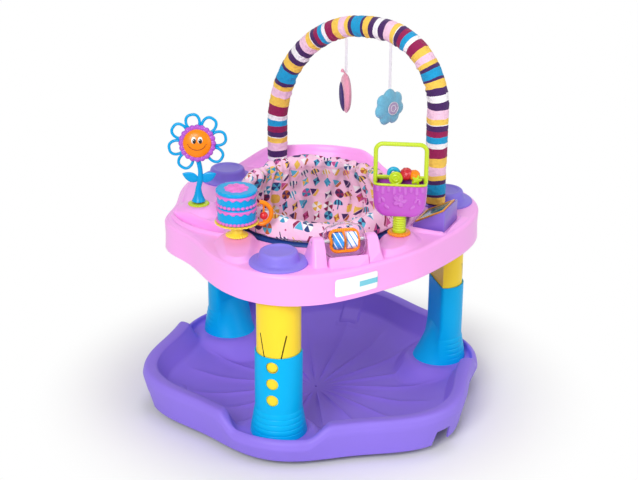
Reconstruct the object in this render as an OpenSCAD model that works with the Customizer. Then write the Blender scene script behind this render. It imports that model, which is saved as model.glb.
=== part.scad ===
// Activity jumper: a dished base, three telescoping legs, a toy tray that bounces on springs,
// a swivel bucket seat, a fabric-covered toy arch and table toys.
// Origin on the floor under the middle of the seat, +Z up, -Y is the side the child faces.

/* [Legs] */
// Radius of the circle that the three leg axes stand on
leg_ring_r = 280; // [270:1:300]
// Outer radius of an upper leg tube
tube_r = 44; // [40:0.5:46]
// Distance from a leg axis to the flat inner side of its tube
tube_flat = 12; // [9:0.5:16]
// Wall of the leg tubes and sleeves
leg_wall = 3; // [2.6:0.1:3.6]
// Sliding clearance round a leg tube
slide_gap = 0.4; // [0.3:0.05:0.6]
// Length of a lower leg sleeve
sleeve_h = 178; // [165:1:190]
// Radius of the flared foot of a sleeve
flare_r = 57; // [55:0.5:60]
// Height of the flared foot
flare_h = 55; // [45:1:62]
// Rings moulded into the flared foot
flare_rings = 5; // [3:1:7]
// Length of an upper leg tube below its end plate
tube_h = 278; // [272:1:286]
// Radius of a height button
button_r = 12; // [10:0.5:13]
// Distance between the height holes
hole_pitch = 36; // [30:1:38]
// Height of the top hole above the foot of the sleeve
top_hole_h = 158; // [148:1:160]
// Radius of a bounce spring's coil
spring_r = 24; // [18:0.5:28]
// Radius of the spring wire
wire_r = 1.8; // [1.2:0.1:2.4]
// Turns of a bounce spring
spring_turns = 4; // [3:1:5]

/* [Base] */
// Radius of the base at its six corners
base_corner_r = 360; // [350:1:375]
// Radius of the base half way between corners
base_waist_r = 331; // [322:1:345]
// How much further the base reaches at its two feet on the right than at a leg
foot_lobe = 14; // [0:1:16]
// How much further the base reaches to the left and to the right
side_lobe = 7; // [0:1:10]
// Wall of the base
base_wall = 4; // [3:0.5:5]
// Height of the rim between the legs
rim_h = 92; // [84:1:100]
// How far the rim dips in front of a leg
rim_dip = 28; // [20:1:36]
// Height of the skirt's lower edge above the floor
skirt_gap = 14; // [10:1:18]
// How far the skirt leans in towards the floor
skirt_lean = 15; // [8:1:20]
// Height of the mounds that carry the legs
mound_h = 50; // [46:1:54]
// Radius of the mounds
mound_r = 66; // [63:0.5:68]
// Width of a finger notch in the skirt
notch_w = 40; // [30:1:50]
// Height of a finger notch above the floor
notch_h = 46; // [36:1:52]
// Distance of the stabiliser pivots from the middle
foot_ring_r = 290; // [284:1:296]
// Height of the stabiliser pivots above the floor
foot_pivot_h = 12; // [11:0.5:14]
// Width of a stabiliser foot
foot_w = 38; // [30:1:44]

/* [Tray] */
// Height of the tray's lower edge above the floor
tray_z = 350; // [346:1:356]
// Height of the tray's wall
tray_h = 62; // [60:1:66]
// Radius of the tray between the legs
tray_waist_r = 285; // [282:1:294]
// Wall of the tray
tray_wall = 4; // [3:0.5:4.5]
// Extra reach of the tray's left corner
left_corner = 31; // [20:1:36]
// Extra reach of the tray behind the seat
back_reach = 34; // [26:1:36]
// Height of the raised collar behind the seat
collar_h = 40; // [20:1:48]
// Radius of the seat opening
opening_r = 190; // [188:0.5:191]
// Depth of the seat ledge below the tray's top
ledge_drop = 22; // [18:1:26]
// Radius of a leg cap's flange
cap_flange_r = 57.5; // [57:0.5:59]
// Radius of a leg cap's dome at its foot
cap_dome_r = 41; // [38:0.5:44]
// Height of a leg cap above the tray
cap_h = 26; // [25:0.5:32]
// Width of the label plate
label_w = 92; // [60:1:100]
// Height of the label plate
label_h = 36; // [30:1:46]

/* [Seat] */
// Width of the swivel ring
ring_w = 15; // [10:0.5:17]
// Height of the swivel ring
ring_h = 21; // [18:0.5:24]
// Radius of the padded roll round the seat
roll_r = 16; // [12:0.5:17]
// Height of the seat's front edge above the tray
seat_front_h = 36; // [30:1:40]
// Height of the seat's back edge above the tray
seat_back_h = 84; // [60:1:88]
// How far the seat's edge leans in at its back
seat_lean = 33; // [20:1:36]
// Depth of the seat below the tray's top
seat_depth = 160; // [140:1:180]
// Thickness of the seat's cloth
seat_cloth = 8; // [5:0.5:10]
// Radius of a leg hole in the seat
leg_hole_r = 50; // [40:1:54]

/* [Arch] */
// Height of the arch's centre line at the top
arch_top_z = 777; // [755:1:785]
// Radius of the arch's left bend
arch_left_r = 262; // [240:1:266]
// Radius of the arch's right bend
arch_right_r = 141; // [120:1:150]
// Radius of the arch's fabric sleeve
arch_sleeve_r = 22; // [18:0.5:23]
// Radius of the tube in the arch
arch_tube_r = 11; // [9:0.5:12]
// Length of the plush bug's ribbon
bug_ribbon_l = 74; // [55:1:90]
// Length of the plush flower's ribbon
plush_ribbon_l = 96; // [70:1:110]
// Width of the ribbons
ribbon_w = 7; // [5:0.5:9]
// Height of the plush bug
bug_d = 90; // [70:1:94]
// Height of the plush flower
plush_d = 82; // [70:1:90]
// Thickness of the plush toys
plush_t = 24; // [18:1:28]

/* [Table toys] */
// Height of the flower's face above its socket
flower_h = 129; // [110:1:140]
// Radius of the flower's face
face_r = 29; // [24:0.5:30]
// Radius of the scalloped ring round the face
scallop_r = 37; // [34:0.5:40]
// Radius of a petal loop
petal_r = 12.5; // [11:0.5:15]
// Radius of the petal's wire
petal_wire_r = 3.6; // [2.5:0.1:4]
// Radius of the cake's tiers
cake_r = 38; // [32:0.5:39]
// Height of a cake tier
tier_h = 33; // [26:1:38]
// Radius of the roller's barrel
roller_r = 36; // [30:0.5:37]
// Length of the roller's barrel
roller_l = 76; // [66:1:90]
// Thickness of an ear that carries the roller
ear_t = 28; // [16:1:30]
// Width of the basket
basket_w = 108; // [96:1:110]
// Depth of the basket
basket_d = 46; // [44:1:54]
// Height of the basket
basket_h = 66; // [58:1:72]
// Height of the basket's handle above its rim
handle_h = 84; // [60:1:90]
// Radius of the fruit beads
fruit_r = 17; // [14:0.5:18]
// Length of the wedge station towards the seat
wedge_l = 68; // [60:1:70]
// Width of the wedge station
wedge_w = 82; // [70:1:84]
// Height of the wedge's outer side
wedge_h = 45; // [38:1:50]
// How far the press panel travels
panel_travel = 3; // [2:0.5:4]

/* [Hidden] */
$fn = 64;
leg_angles = [-120, 0, 120];
foot_angles = [-60, 180, 60];
tray_top = tray_z + tray_h;
seat_gap = 0.3;
run_gap = 0.05;
weld = 2;

// Leg heights, from the mound up
sleeve_bore_r = tube_r + slide_gap;
sleeve_r = sleeve_bore_r + leg_wall;
sleeve_flat = tube_flat + slide_gap + leg_wall;
bore_flat = tube_flat + slide_gap;
sleeve_top = mound_h + sleeve_h;
channel_depth = leg_wall - 1;
channel_r = sleeve_bore_r + channel_depth;
button_face_r = channel_r - seat_gap;
button_z = mound_h + top_hole_h;
plate_t = 4;
plate_r = tube_r + 3.9;
plate_z = tray_top - ledge_drop;
tube_bottom = plate_z - tube_h;
guide_floor_z = plate_z - seat_gap;
guide_cup_r = plate_r + slide_gap + 2.7;
cap_wall = 3;
cap_top_r = cap_dome_r - 4;
spigot_r = 9;
spigot_h = 8;
pocket_r = tube_r + 3;

// Base
center_hole_r = 3;
floor_z = 5;
ring_steps = 90;
bracket_z = foot_pivot_h + 6;
boss_z = bracket_z + 3;
foot_pin_r = 2.5;
ear_w = 5;

// Tray and seat
tray_leg_r = leg_ring_r + cap_flange_r + 7.5;
edge_round = 7;
collar_mid = 75;
ledge_w = 14;
ledge_z = tray_top - ledge_drop;
label_mid = -90;
ring_r = opening_r - 5;
glide_h = 1.6;
ring_z = ledge_z + seat_gap + glide_h;
roll_mid_r = ring_r - roll_r;
seat_back_angle = 85;

// Arch feet on the tray
arch_left = [-18, 281];
arch_right = [leg_ring_r - 44, -58];
arch_span = norm(arch_right - arch_left);
arch_angle = atan2(arch_right[1] - arch_left[1], arch_right[0] - arch_left[0]);
arch_foot_z = tray_top + 20;
bug_along = 188;
plush_along = 302;
// Underside of the arch's sleeve at a distance along the arch
function bend_low(r, d) = arch_top_z - r + sqrt(pow(r - arch_sleeve_r, 2) - d * d);
function hang_z(s) = let (r = s < arch_left_r ? arch_left_r : arch_right_r,
  d = s < arch_left_r ? arch_left_r - s : max(0, s - arch_span + arch_right_r))
  bend_low(r, d + ribbon_w / 2) - seat_gap;

// Table toy places on the tray
flower_at = [-237, 66];
flower_face_angle = -104;
flower_pad_h = 14;
cake_at = [-197, -128];
cake_pad_h = 16;
bow_angle = -15;
roller_at = [-13, -254];
roller_z = tray_top + roller_r + 2;
basket_at = [118, -189];
basket_angle = -20;
basket_pad_h = 15;
wedge_at = [217, -119];
wedge_angle = -38;
wedge_low_h = 8;
wedge_wall = 2.5;

pink = [1.0, 0.68, 0.94];
purple = [0.52, 0.43, 0.84];
cyan = [0.0, 0.67, 0.94];
yellow = [1.0, 0.85, 0.2];
navy = [0.08, 0.2, 0.47];
orange = [0.95, 0.5, 0.06];
lime = [0.78, 0.87, 0.16];
steel = [0.7, 0.7, 0.72];
white = [0.95, 0.95, 0.95];

// Angle from the nearest multiple of a step
function from_nearest(a, step) = a - step * round(a / step);
// Smooth step from 0 at lo to 1 at hi
function ease(lo, hi, x) = let (u = min(1, max(0, (x - lo) / (hi - lo)))) u * u * (3 - 2 * u);
function bump(a, mid, width) = exp(-pow(from_nearest(a - mid, 360) / width, 2));
function polar(r, a) = [r * cos(a), r * sin(a)];

// Outline of the tray: a lobe over each leg, a left corner and a fuller back
function tray_r(a) = tray_waist_r
  + (tray_leg_r - tray_waist_r) * pow(cos(1.5 * from_nearest(a, 120)), 3)
  + left_corner * bump(a, 175, 14) + back_reach * bump(a, 72, 24);
function collar(a) = collar_h * (1 - ease(18, 36, abs(from_nearest(a - collar_mid, 360))));
// Outline of the base and the height of its rim
function base_r(a) = base_waist_r
  + (base_corner_r - base_waist_r) * (1 + cos(6 * a)) / 2
  + foot_lobe * (bump(a, 60, 26) + bump(a, -60, 26)) + side_lobe * (bump(a, 0, 26) + bump(a, 180, 26));
function by_leg(a) = 1 - ease(12, 21, abs(from_nearest(a, 120)));
function rim_z(a) = rim_h - rim_dip * by_leg(a);
function rim_w(a) = 34 - 14 * by_leg(a);

// Closed shell whose section turns round the Z axis: section(a) gives [radius, height] points
module ring_shell(sections) {
  n = len(sections);
  k = len(sections[0]);
  points = [for (j = [0 : n - 1], p = sections[j]) concat(polar(p[0], j * 360 / n), p[1])];
  quads = [for (j = [0 : n - 1], i = [0 : k - 1])
    [j * k + i, ((j + 1) % n) * k + i, ((j + 1) % n) * k + (i + 1) % k, j * k + (i + 1) % k]];
  faces = [for (q = quads, t = [[q[0], q[1], q[2]], [q[0], q[2], q[3]]]) t];
  polyhedron(points, faces, convexity = 10);
}

module at_leg(i) rotate(leg_angles[i]) translate([leg_ring_r, 0, 0]) children();
module at_foot(i) rotate(foot_angles[i]) translate([foot_ring_r, 0, foot_pivot_h]) children();
module at_point(p, z, a) translate([p[0], p[1], z]) rotate(a) children();
module ring(r_out, r_in, z0, z1) rotate_extrude() translate([r_in, z0]) square([r_out - r_in, z1 - z0]);

// Height of the dish: it rises to the rim and is flat over each leg mound
function reach(r, a, p) = norm([r * cos(a) - p, r * sin(a)]);
function dish_z(f) = floor_z + 4 * ease(0, 0.7, f) + 36 * pow(max(0, (f - 0.55) / 0.45), 2);
function dish_top(r, a, f) = let (leg = reach(r, from_nearest(a, 120), leg_ring_r), z = dish_z(f))
  z + (mound_h - z) * (1 - ease(mound_r, mound_r + mound_slope, leg));
mound_slope = 36;
dish_steps = [0.3, 0.54, 0.62, 0.7, 0.8, 0.9, 1];

// Base section, from the centre over the rim, down the skirt and back underneath
function base_section(a) = let (r = base_r(a), z = rim_z(a), w = base_wall, inner = r - 52,
  crest = r - rim_w(a)) concat(
  [[center_hole_r, floor_z]], [for (f = dish_steps) [f * inner, dish_top(f * inner, a, f)]],
  [[crest, max(z - 10 - 6 * by_leg(a), dish_top(crest, a, 1))], [crest + 6, z - 2], [r - 10, z],
    [r - 3, z - 6], [r, z - 18], [r - skirt_lean, skirt_gap], [r - skirt_lean - w, skirt_gap],
    [r - w, z - 18 - w], [r - 10, z - w - 2], [crest + 8, z - w - 5], [crest + 4, z - 14 - w]],
  [for (k = [len(dish_steps) - 1 : -1 : 0]) let (f = dish_steps[k])
    [f * inner + (k == len(dish_steps) - 1 ? w / 2 : 0), dish_top(f * inner, a, f) - w]],
  [[center_hole_r, floor_z - w]]);

screw_r = 2;
screw_at = (flare_r + tube_r + slide_gap) / 2;
screw_angles = [110, -110];
screw_head_h = 2.4;
screw_z = mound_h - base_wall - seat_gap;
module at_screws() for (i = [0 : 2], a = screw_angles) at_leg(i) rotate(a) translate([screw_at, 0, 0])
  children();

// Boss under the dish that a stabiliser's bracket hangs from
module foot_boss(i) at_foot(i) translate([0, boss_w / 2, -foot_pivot_h]) rotate([90, 0, 0])
  linear_extrude(boss_w) {
  inner = base_r(foot_angles[i]) - 52;
  polygon([[-9, boss_z], [9, boss_z], [9, dish_z((foot_ring_r + 9) / inner) - base_wall / 2],
    [-9, dish_z((foot_ring_r - 9) / inner) - base_wall / 2]]);
}
boss_w = foot_w + 2 + 2 * ear_w;

module base_tray() color(purple) difference() {
  union() {
    ring_shell([for (j = [0 : ring_steps - 1]) base_section(j * 360 / ring_steps)]);
    for (i = [0 : 2]) foot_boss(i);
  }
  for (i = [0 : 2]) at_leg(i) cylinder(r = pocket_r, h = 2 * mound_h);
  for (a = foot_angles) rotate(a) translate([base_corner_r + foot_lobe - 32, -notch_w / 2, 0])
    cube([60, notch_w, notch_h]);
  at_screws() cylinder(r = screw_r + run_gap, h = 2 * mound_h);
}

// Stabiliser foot: an eye on the pin and a pad that stands inwards of it
module stabiliser_foot(i) color([0.4, 0.33, 0.7]) at_foot(i) rotate([90, 0, 0]) difference() {
  union() {
    cylinder(r = 5, h = foot_w, center = true);
    translate([-9, -foot_pivot_h, -foot_w / 2]) cube([13, 6, foot_w]);
    translate([-4, -foot_pivot_h, -foot_w / 2]) cube([8, foot_pivot_h, foot_w]);
  }
  cylinder(r = foot_pin_r + run_gap, h = foot_w + 2, center = true);
}

module stabiliser_brackets() color(purple) for (i = [0 : 2]) at_foot(i) difference() {
  union() {
    translate([-9, -foot_w / 2 - 1 - ear_w, bracket_z - foot_pivot_h])
      cube([18, foot_w + 2 + 2 * ear_w, boss_z - bracket_z]);
    for (s = [-1, 1]) translate([-5, s * (foot_w / 2 + 1 + ear_w / 2) - ear_w / 2, -5])
      cube([10, ear_w, bracket_z - foot_pivot_h + 5]);
  }
  rotate([90, 0, 0]) cylinder(r = foot_pin_r + run_gap, h = foot_w + 30, center = true);
}

module stabiliser_pins() color(steel) for (i = [0 : 2]) at_foot(i) rotate([90, 0, 0])
  cylinder(r = foot_pin_r, h = foot_w + 2 + 2 * ear_w, center = true);

// Post of D section: round outside, flat on the side that faces the middle
module d_post(r, flat, z0, z1) intersection() {
  translate([0, 0, z0]) cylinder(r = r, h = z1 - z0);
  translate([-flat, -r - 1, z0 - 1]) cube([r + flat + 1, 2 * r + 2, z1 - z0 + 2]);
}
function flare_at(u) = flare_r + (sleeve_r - flare_r) * u;
flare_steps = [for (i = [0 : flare_rings - 1]) let (u = i / flare_rings, v = (i + 1) / flare_rings)
  each [[flare_at(u), mound_h + u * flare_h], [flare_at(v) + 0.8, mound_h + v * flare_h]]];

// Space on the inner side of the slope that joins the round foot to the flat
slope_h = 80;
module above_slope(shift) translate([shift - flare_r, 0, mound_h])
  rotate([0, atan2(flare_r - sleeve_flat, slope_h), 0]) translate([-120, -100, -60]) cube([120, 200, 300]);

module lower_sleeve(i) color(cyan) at_leg(i) difference() {
  union() {
    d_post(sleeve_r, sleeve_flat, mound_h + 1, sleeve_top);
    difference() {
      rotate_extrude() polygon(concat([[0, mound_h]], flare_steps,
        [[sleeve_r - 0.2, mound_h + flare_h], [sleeve_r - 0.2, mound_h + slope_h + 10],
          [0, mound_h + slope_h + 10]]));
      above_slope(0);
    }
  }
  d_post(sleeve_bore_r, bore_flat, mound_h - 1, sleeve_top + 1);
  difference() {
    translate([0, 0, mound_h + leg_wall])
      cylinder(r1 = flare_r - leg_wall, r2 = sleeve_bore_r - 4, h = flare_h - leg_wall - 8);
    above_slope(leg_wall + 1);
  }
  intersection() {
    d_post(channel_r, bore_flat, tube_bottom - 4, sleeve_top + 1);
    translate([0, -button_r - 1, 0]) cube([2 * tube_r, 2 * button_r + 2, sleeve_top + 2]);
  }
  for (k = [0 : 2]) translate([tube_r / 2, 0, button_z - k * hole_pitch]) rotate([0, 90, 0])
    cylinder(r = button_r + 0.5, h = tube_r);
  for (a = screw_angles) rotate(a) translate([screw_at, 0, mound_h - 1])
    cylinder(r = screw_r + run_gap, h = 12);
}

module sleeve_screws() color(steel) at_screws() {
  translate([0, 0, screw_z - screw_head_h]) cylinder(r = 2 * screw_r, h = screw_head_h);
  translate([0, 0, screw_z]) cylinder(r = screw_r, h = base_wall + leg_wall);
}

// Upper tube: the button rides on a tongue between two slits that lean together
slit_w = 1.2;
slit_top = button_z + 68;
slit_foot = button_z + button_r + 6;
slit_lean = 11;
module upper_tube(i) color(yellow) at_leg(i) difference() {
  union() {
    d_post(tube_r, tube_flat, tube_bottom, plate_z);
    translate([0, 0, plate_z]) cylinder(r = plate_r, h = plate_t);
    translate([0, 0, plate_z + plate_t]) cylinder(r = spigot_r, h = spigot_h);
  }
  d_post(tube_r - leg_wall, tube_flat - leg_wall, tube_bottom - 1, plate_z);
  translate([tube_r / 2, 0, button_z]) rotate([0, 90, 0]) cylinder(r = button_r + 0.3, h = tube_r);
  for (s = [-1, 1]) translate([tube_r / 2, s * (button_r + 5), slit_foot]) rotate([-s * slit_lean, 0, 0])
    translate([0, -slit_w / 2, 0]) cube([tube_r, slit_w, slit_top - slit_foot]);
}

button_back = sqrt(pow(tube_r - leg_wall, 2) - pow(button_r + 2.5, 2)) - 0.5;
module height_button(i) color(yellow) at_leg(i) intersection() {
  translate([0, 0, button_z]) rotate([0, 90, 0]) {
    translate([0, 0, button_back - 3]) cylinder(r = button_r + 2, h = 3);
    translate([0, 0, button_back - 3]) cylinder(r = button_r, h = tube_r);
  }
  translate([0, 0, button_z - 2 * button_r]) cylinder(r = button_face_r, h = 4 * button_r);
}

// Bounce spring: a wire swept along a helix between the tube's end plate and the cap
spring_z0 = plate_z + plate_t + 0.2;
spring_z1 = tray_top + cap_h - cap_wall - 0.2;
wire_sides = 6;
turn_steps = 14;
module coil() {
  n = spring_turns * turn_steps;
  rise = (spring_z1 - spring_z0 - 2 * wire_r) / n;
  points = [for (j = [0 : n], s = [0 : wire_sides - 1])
    let (a = j * 360 / turn_steps, b = s * 360 / wire_sides)
    concat(polar(spring_r + wire_r * cos(b), a), spring_z0 + wire_r + j * rise + wire_r * sin(b))];
  sides = [for (j = [0 : n - 1], s = [0 : wire_sides - 1])
    let (t = (s + 1) % wire_sides, q = j * wire_sides)
    each [[q + s, q + t, q + wire_sides + t], [q + s, q + wire_sides + t, q + wire_sides + s]]];
  ends = [[for (s = [wire_sides - 1 : -1 : 0]) s], [for (s = [0 : wire_sides - 1]) n * wire_sides + s]];
  polyhedron(points, concat(sides, ends), convexity = 10);
}
module bounce_springs() color(steel) for (i = [0 : 2]) at_leg(i) coil();

// Guide: a cup that hangs in the tray by its rim, with a bush round the leg tube
guide_rim_r = guide_cup_r + 4.5;
module leg_guides() color([0.45, 0.38, 0.75]) for (i = [0 : 2]) at_leg(i) rotate_extrude()
  polygon([[sleeve_bore_r, tray_z + 2], [sleeve_bore_r + leg_wall, tray_z + 2],
    [sleeve_bore_r + leg_wall, guide_floor_z - 4], [guide_cup_r, guide_floor_z - 4],
    [guide_cup_r, tray_top], [guide_rim_r, tray_top], [guide_rim_r, tray_top + 2],
    [plate_r + slide_gap, tray_top + 2], [plate_r + slide_gap, guide_floor_z],
    [sleeve_bore_r, guide_floor_z]]);

module leg_cap(i) color(purple) at_leg(i) rotate_extrude() {
  top = tray_top + cap_h;
  polygon([[0, top], [cap_top_r - 5, top], [cap_top_r - 1.5, top - 1.2], [cap_top_r, top - 4],
    [cap_dome_r, tray_top + 5], [cap_flange_r - 2, tray_top + 5], [cap_flange_r, tray_top + 3],
    [cap_flange_r, tray_top], [guide_rim_r + 0.3, tray_top], [guide_rim_r + 0.3, tray_top + 2.2],
    [cap_dome_r - cap_wall, tray_top + 2.2], [cap_top_r - cap_wall, top - cap_wall], [0, top - cap_wall]]);
}

// Toy tray: outer wall, rounded edge, raised collar, top, seat lip and ledge
function tray_section(a) = let (r = tray_r(a), h = collar(a), w = tray_wall, t = tray_top,
  e = edge_round, i = opening_r) [
  [i, ledge_z], [i, t - 8], [i + 2.5, t - 2], [i + 9, t], [r - 3 * e, t], [r - 2.4 * e, t + 0.6 * h],
  [r - 1.8 * e, t + 0.97 * h], [r - e, t + h], [r - 0.3 * e, t + h - 0.3 * e], [r, t + h - e],
  [r, tray_z], [r - w, tray_z], [r - w, t + h - e - w], [r - e - 1, t + h - w],
  [r - 1.8 * e - 1, t + 0.97 * h - w], [r - 2.4 * e - w, t + 0.6 * h - w], [r - 3 * e - w, t - w],
  [i + 10, t - w], [i + w, t - w - 6], [i + w, ledge_z - w], [i - ledge_w, ledge_z - w],
  [i - ledge_w, ledge_z]];

ear_gap = 1.5;
ear_x = roller_l / 2 + ear_gap;
axle_r = 4;
ear_r = 13;
ear_foot = 24;
module roller_ears() at_point(roller_at, 0, 0) for (s = [-1, 1])
  translate([s * (ear_x + ear_t / 2) - ear_t / 2, 0, 0]) hull() {
    translate([0, 0, roller_z]) rotate([0, 90, 0]) cylinder(r = ear_r, h = ear_t);
    translate([0, -ear_foot, tray_top - weld]) cube([ear_t, 2 * ear_foot, weld + 8]);
  }
flower_pad_r = 36;
cake_pad_r = 36;
basket_pad_r = 27;
module pad(p, h, r) at_point(p, tray_top - weld, 0) cylinder(r1 = r + 4, r2 = r, h = h + weld);

module tray() color(pink) difference() {
  union() {
    ring_shell([for (j = [0 : ring_steps - 1]) tray_section(j * 360 / ring_steps)]);
    pad(flower_at, flower_pad_h, flower_pad_r);
    pad(cake_at, cake_pad_h, cake_pad_r);
    pad(basket_at, basket_pad_h, basket_pad_r);
    roller_ears();
  }
  for (i = [0 : 2]) at_leg(i) translate([0, 0, tray_z]) cylinder(r = guide_cup_r + 0.3, h = 2 * tray_h);
  for (p = [arch_left, arch_right]) at_point(p, tray_z, 0)
    cylinder(r = arch_tube_r + run_gap, h = 2 * tray_h);
  at_point(roller_at, roller_z, 0) rotate([0, 90, 0])
    cylinder(r = axle_r + run_gap, h = 2 * (ear_x + ear_t), center = true);
}

// Label plate: follows the tray's front wall, left bare
label_gap = 0.3;
label_t = 1.2;
module label_plate() color(white) {
  half = label_w / 2 / tray_r(label_mid) * 180 / PI;
  turns = [for (k = [0 : 8]) label_mid - half + k * half / 4];
  inner = [for (a = turns) polar(tray_r(a) + label_gap, a)];
  outer = [for (k = [8 : -1 : 0]) polar(tray_r(turns[k]) + label_gap + label_t, turns[k])];
  translate([0, 0, tray_z + (tray_h - edge_round - label_h) / 2 + 2]) linear_extrude(label_h)
    polygon(concat(inner, outer));
}

// Seat: a swivel ring on the tray's ledge, with a padded bucket hung in it
module seat_ring() color(navy) ring(ring_r, ring_r - ring_w, ring_z, ring_z + ring_h);
glide_count = 8;
module seat_glides() color(white) for (k = [0 : glide_count - 1]) rotate(k * 360 / glide_count)
  translate([ring_r - 6, -10, ring_z - glide_h]) cube([5, 20, glide_h]);

pad_foot_z = ring_z + ring_h + seat_gap;
pad_front = tray_top + seat_front_h;
pad_back = tray_top + seat_back_h;
well_r = ring_r - ring_w - 1;
well_bottom = tray_top - seat_depth;
bottom_r = 96;
module seat_pad() color([0.98, 0.8, 0.9]) {
  mid = (pad_front + pad_back) / 2;
  tilt = atan2(pad_back - pad_front, 2 * roll_mid_r);
  rotate(seat_back_angle) difference() {
    rotate_extrude() polygon([[0, well_bottom], [bottom_r, well_bottom], [well_r, ledge_z - 20],
      [well_r, pad_foot_z], [ring_r, pad_foot_z], [ring_r, pad_foot_z + 6],
      [ring_r - seat_lean, pad_back], [ring_r - seat_lean - 1.4 * roll_r, pad_back],
      [ring_r - 2 * roll_r, pad_foot_z - 4],
      [well_r - seat_cloth, ledge_z - 20], [bottom_r - seat_cloth / 2, well_bottom + seat_cloth],
      [0, well_bottom + seat_cloth]]);
    translate([0, 0, mid]) rotate([0, -tilt, 0]) translate([-300, -300, 0]) cube([600, 600, 200]);
    for (s = [-1, 1]) rotate(180 + s * 38) translate([0, 0, well_bottom + leg_hole_r + 20])
      rotate([0, 90, 0]) cylinder(r = leg_hole_r, h = opening_r);
  }
}

// Arch: straight legs, a wide left bend and a tighter right bend in one upright plane
module arch_rod(r) {
  rise_left = arch_top_z - arch_left_r;
  rise_right = arch_top_z - arch_right_r;
  flat = arch_span - arch_left_r - arch_right_r;
  translate([0, 0, rise_left]) rotate([90, 0, 0]) translate([arch_left_r, 0, 0])
    rotate([0, 0, 90]) rotate_extrude(angle = 90) translate([arch_left_r, 0]) circle(r);
  translate([arch_left_r, 0, arch_top_z]) rotate([0, 90, 0]) cylinder(r = r, h = flat);
  translate([arch_span - arch_right_r, 0, rise_right]) rotate([90, 0, 0])
    rotate_extrude(angle = 90) translate([arch_right_r, 0]) circle(r);
  translate([0, 0, arch_foot_z]) cylinder(r = r, h = rise_left - arch_foot_z);
  translate([arch_span, 0, arch_foot_z]) cylinder(r = r, h = rise_right - arch_foot_z);
}
module at_arch() at_point(arch_left, 0, arch_angle) children();
tube_foot_z = tray_top - tray_wall - 10;
module arch_tube() color(white) at_arch() {
  arch_rod(arch_tube_r);
  for (s = [0, arch_span]) translate([s, 0, tube_foot_z])
    cylinder(r = arch_tube_r, h = arch_foot_z - tube_foot_z);
}
module arch_sleeve() color([0.6, 0.3, 0.6]) at_arch() difference() {
  arch_rod(arch_sleeve_r);
  arch_rod(arch_tube_r + 0.1);
}
module arch_sockets() color(purple) at_arch() for (s = [0, arch_span]) translate([s, 0, 0])
  ring(arch_tube_r + 2.5, arch_tube_r + run_gap, tray_top + 0.1, arch_foot_z - 0.2);

// Hanging toys: their local X runs along the arch, and they swing across it
module at_hang(along) at_arch() translate([along, 0, hang_z(along)]) children();
module ribbon(l) translate([-ribbon_w / 2, -0.6, -l]) cube([ribbon_w, 1.2, l]);
module bug_ribbon() color(white) at_hang(bug_along) ribbon(bug_ribbon_l);
module plush_ribbon() color(white) at_hang(plush_along) ribbon(plush_ribbon_l);
bug_turn = -44;
module lens(d, t) rotate_extrude() intersection() {
  square([d / 2, t / 2]);
  translate([0, t / 2 - (d * d / 4 + t * t / 4) / t]) circle((d * d / 4 + t * t / 4) / t, $fn = 256);
}
module bug_body() color([0.98, 0.6, 0.7]) at_hang(bug_along) translate([0, 0, -bug_ribbon_l - bug_d / 2])
  rotate(bug_turn) rotate([90, 0, 0]) for (m = [0, 1]) mirror([0, 0, m]) lens(bug_d, plush_t);
antenna_r = 1.5;
antenna_h = 10;
antenna_x = 10;
antenna_foot = seat_gap - bug_d / 2 + sqrt(pow(bug_d / 2, 2) - pow(antenna_x - antenna_r, 2));
module bug_antenna() color([0.3, 0.15, 0.4]) at_hang(bug_along)
  translate([0, 0, antenna_foot - bug_ribbon_l]) rotate(bug_turn) for (s = [-1, 1])
    translate([s * antenna_x, 0, 0]) {
      cylinder(r = antenna_r, h = antenna_h);
      translate([0, 0, antenna_h]) sphere(r = 2 * antenna_r);
    }
plush_turn = 78;
plush_lobes = 7;
plush_lobe_r = plush_d / 5;
module plush_flower() color([0.43, 0.74, 0.9]) at_hang(plush_along)
  translate([0, 0, -plush_ribbon_l - plush_d / 2]) rotate(plush_turn) rotate([90, 0, 0])
  translate([0, 0, -plush_t / 2]) linear_extrude(plush_t) {
    circle(plush_d / 2 - plush_lobe_r);
    for (k = [0 : plush_lobes - 1]) rotate(90 + k * 360 / plush_lobes)
      translate([plush_d / 2 - plush_lobe_r, 0]) circle(plush_lobe_r);
  }

// Stem flower: nods on its socket; the head looks towards the front left
socket_h = 4;
flower_z = tray_top + flower_pad_h;
socket_bore_r = 9;
ball_r = socket_bore_r - 0.3;
module flower_socket() color(lime) at_point(flower_at, flower_z, 0) ring(22, socket_bore_r, 0, socket_h);
module at_flower() at_point(flower_at, flower_z + socket_h + seat_gap, flower_face_angle + 90) children();
module at_head() at_flower() translate([0, 0, flower_h]) rotate([90 - 12, 0, 0]) children();
stem_r = 5;
hub_r = scallop_r - 2;
stem_top = flower_h - hub_r - 0.4;
leaf_arc_r = 22;
leaf_w = 18;
leaf_t = 5;
module flower_stem() color(cyan) at_flower() {
  rotate_extrude() polygon([[0, -2.6], [ball_r - 0.4, -2.6], [ball_r, 0], [ball_r, 1.9], [16, 3.4],
    [15, 6.4], [9, 17], [6.5, 34], [stem_r, 48],
    [stem_r, stem_top], [0, stem_top]]);
  for (s = [-1, 1]) translate([s * 18, 0, 56]) rotate([90, s * 24, 0]) intersection() {
    translate([0, leaf_w / 2 - leaf_arc_r, -leaf_t / 2]) cylinder(r = leaf_arc_r, h = leaf_t);
    translate([0, leaf_arc_r - leaf_w / 2, -leaf_t / 2]) cylinder(r = leaf_arc_r, h = leaf_t);
  }
}
petal_count = 8;
petal_ring_r = scallop_r + petal_r - 4;
petal_turn = 12;
module flower_petals() color(cyan) at_head() {
  for (k = [1 : petal_count - 1]) rotate(petal_turn - 90 + k * 360 / petal_count)
    translate([petal_ring_r, 0, 0]) rotate_extrude() translate([petal_r, 0]) circle(petal_wire_r, $fn = 32);
  cylinder(r = hub_r, h = 2 * petal_wire_r - 1, center = true);
}
ring_foot = petal_wire_r + run_gap;
ring_t = 7;
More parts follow.
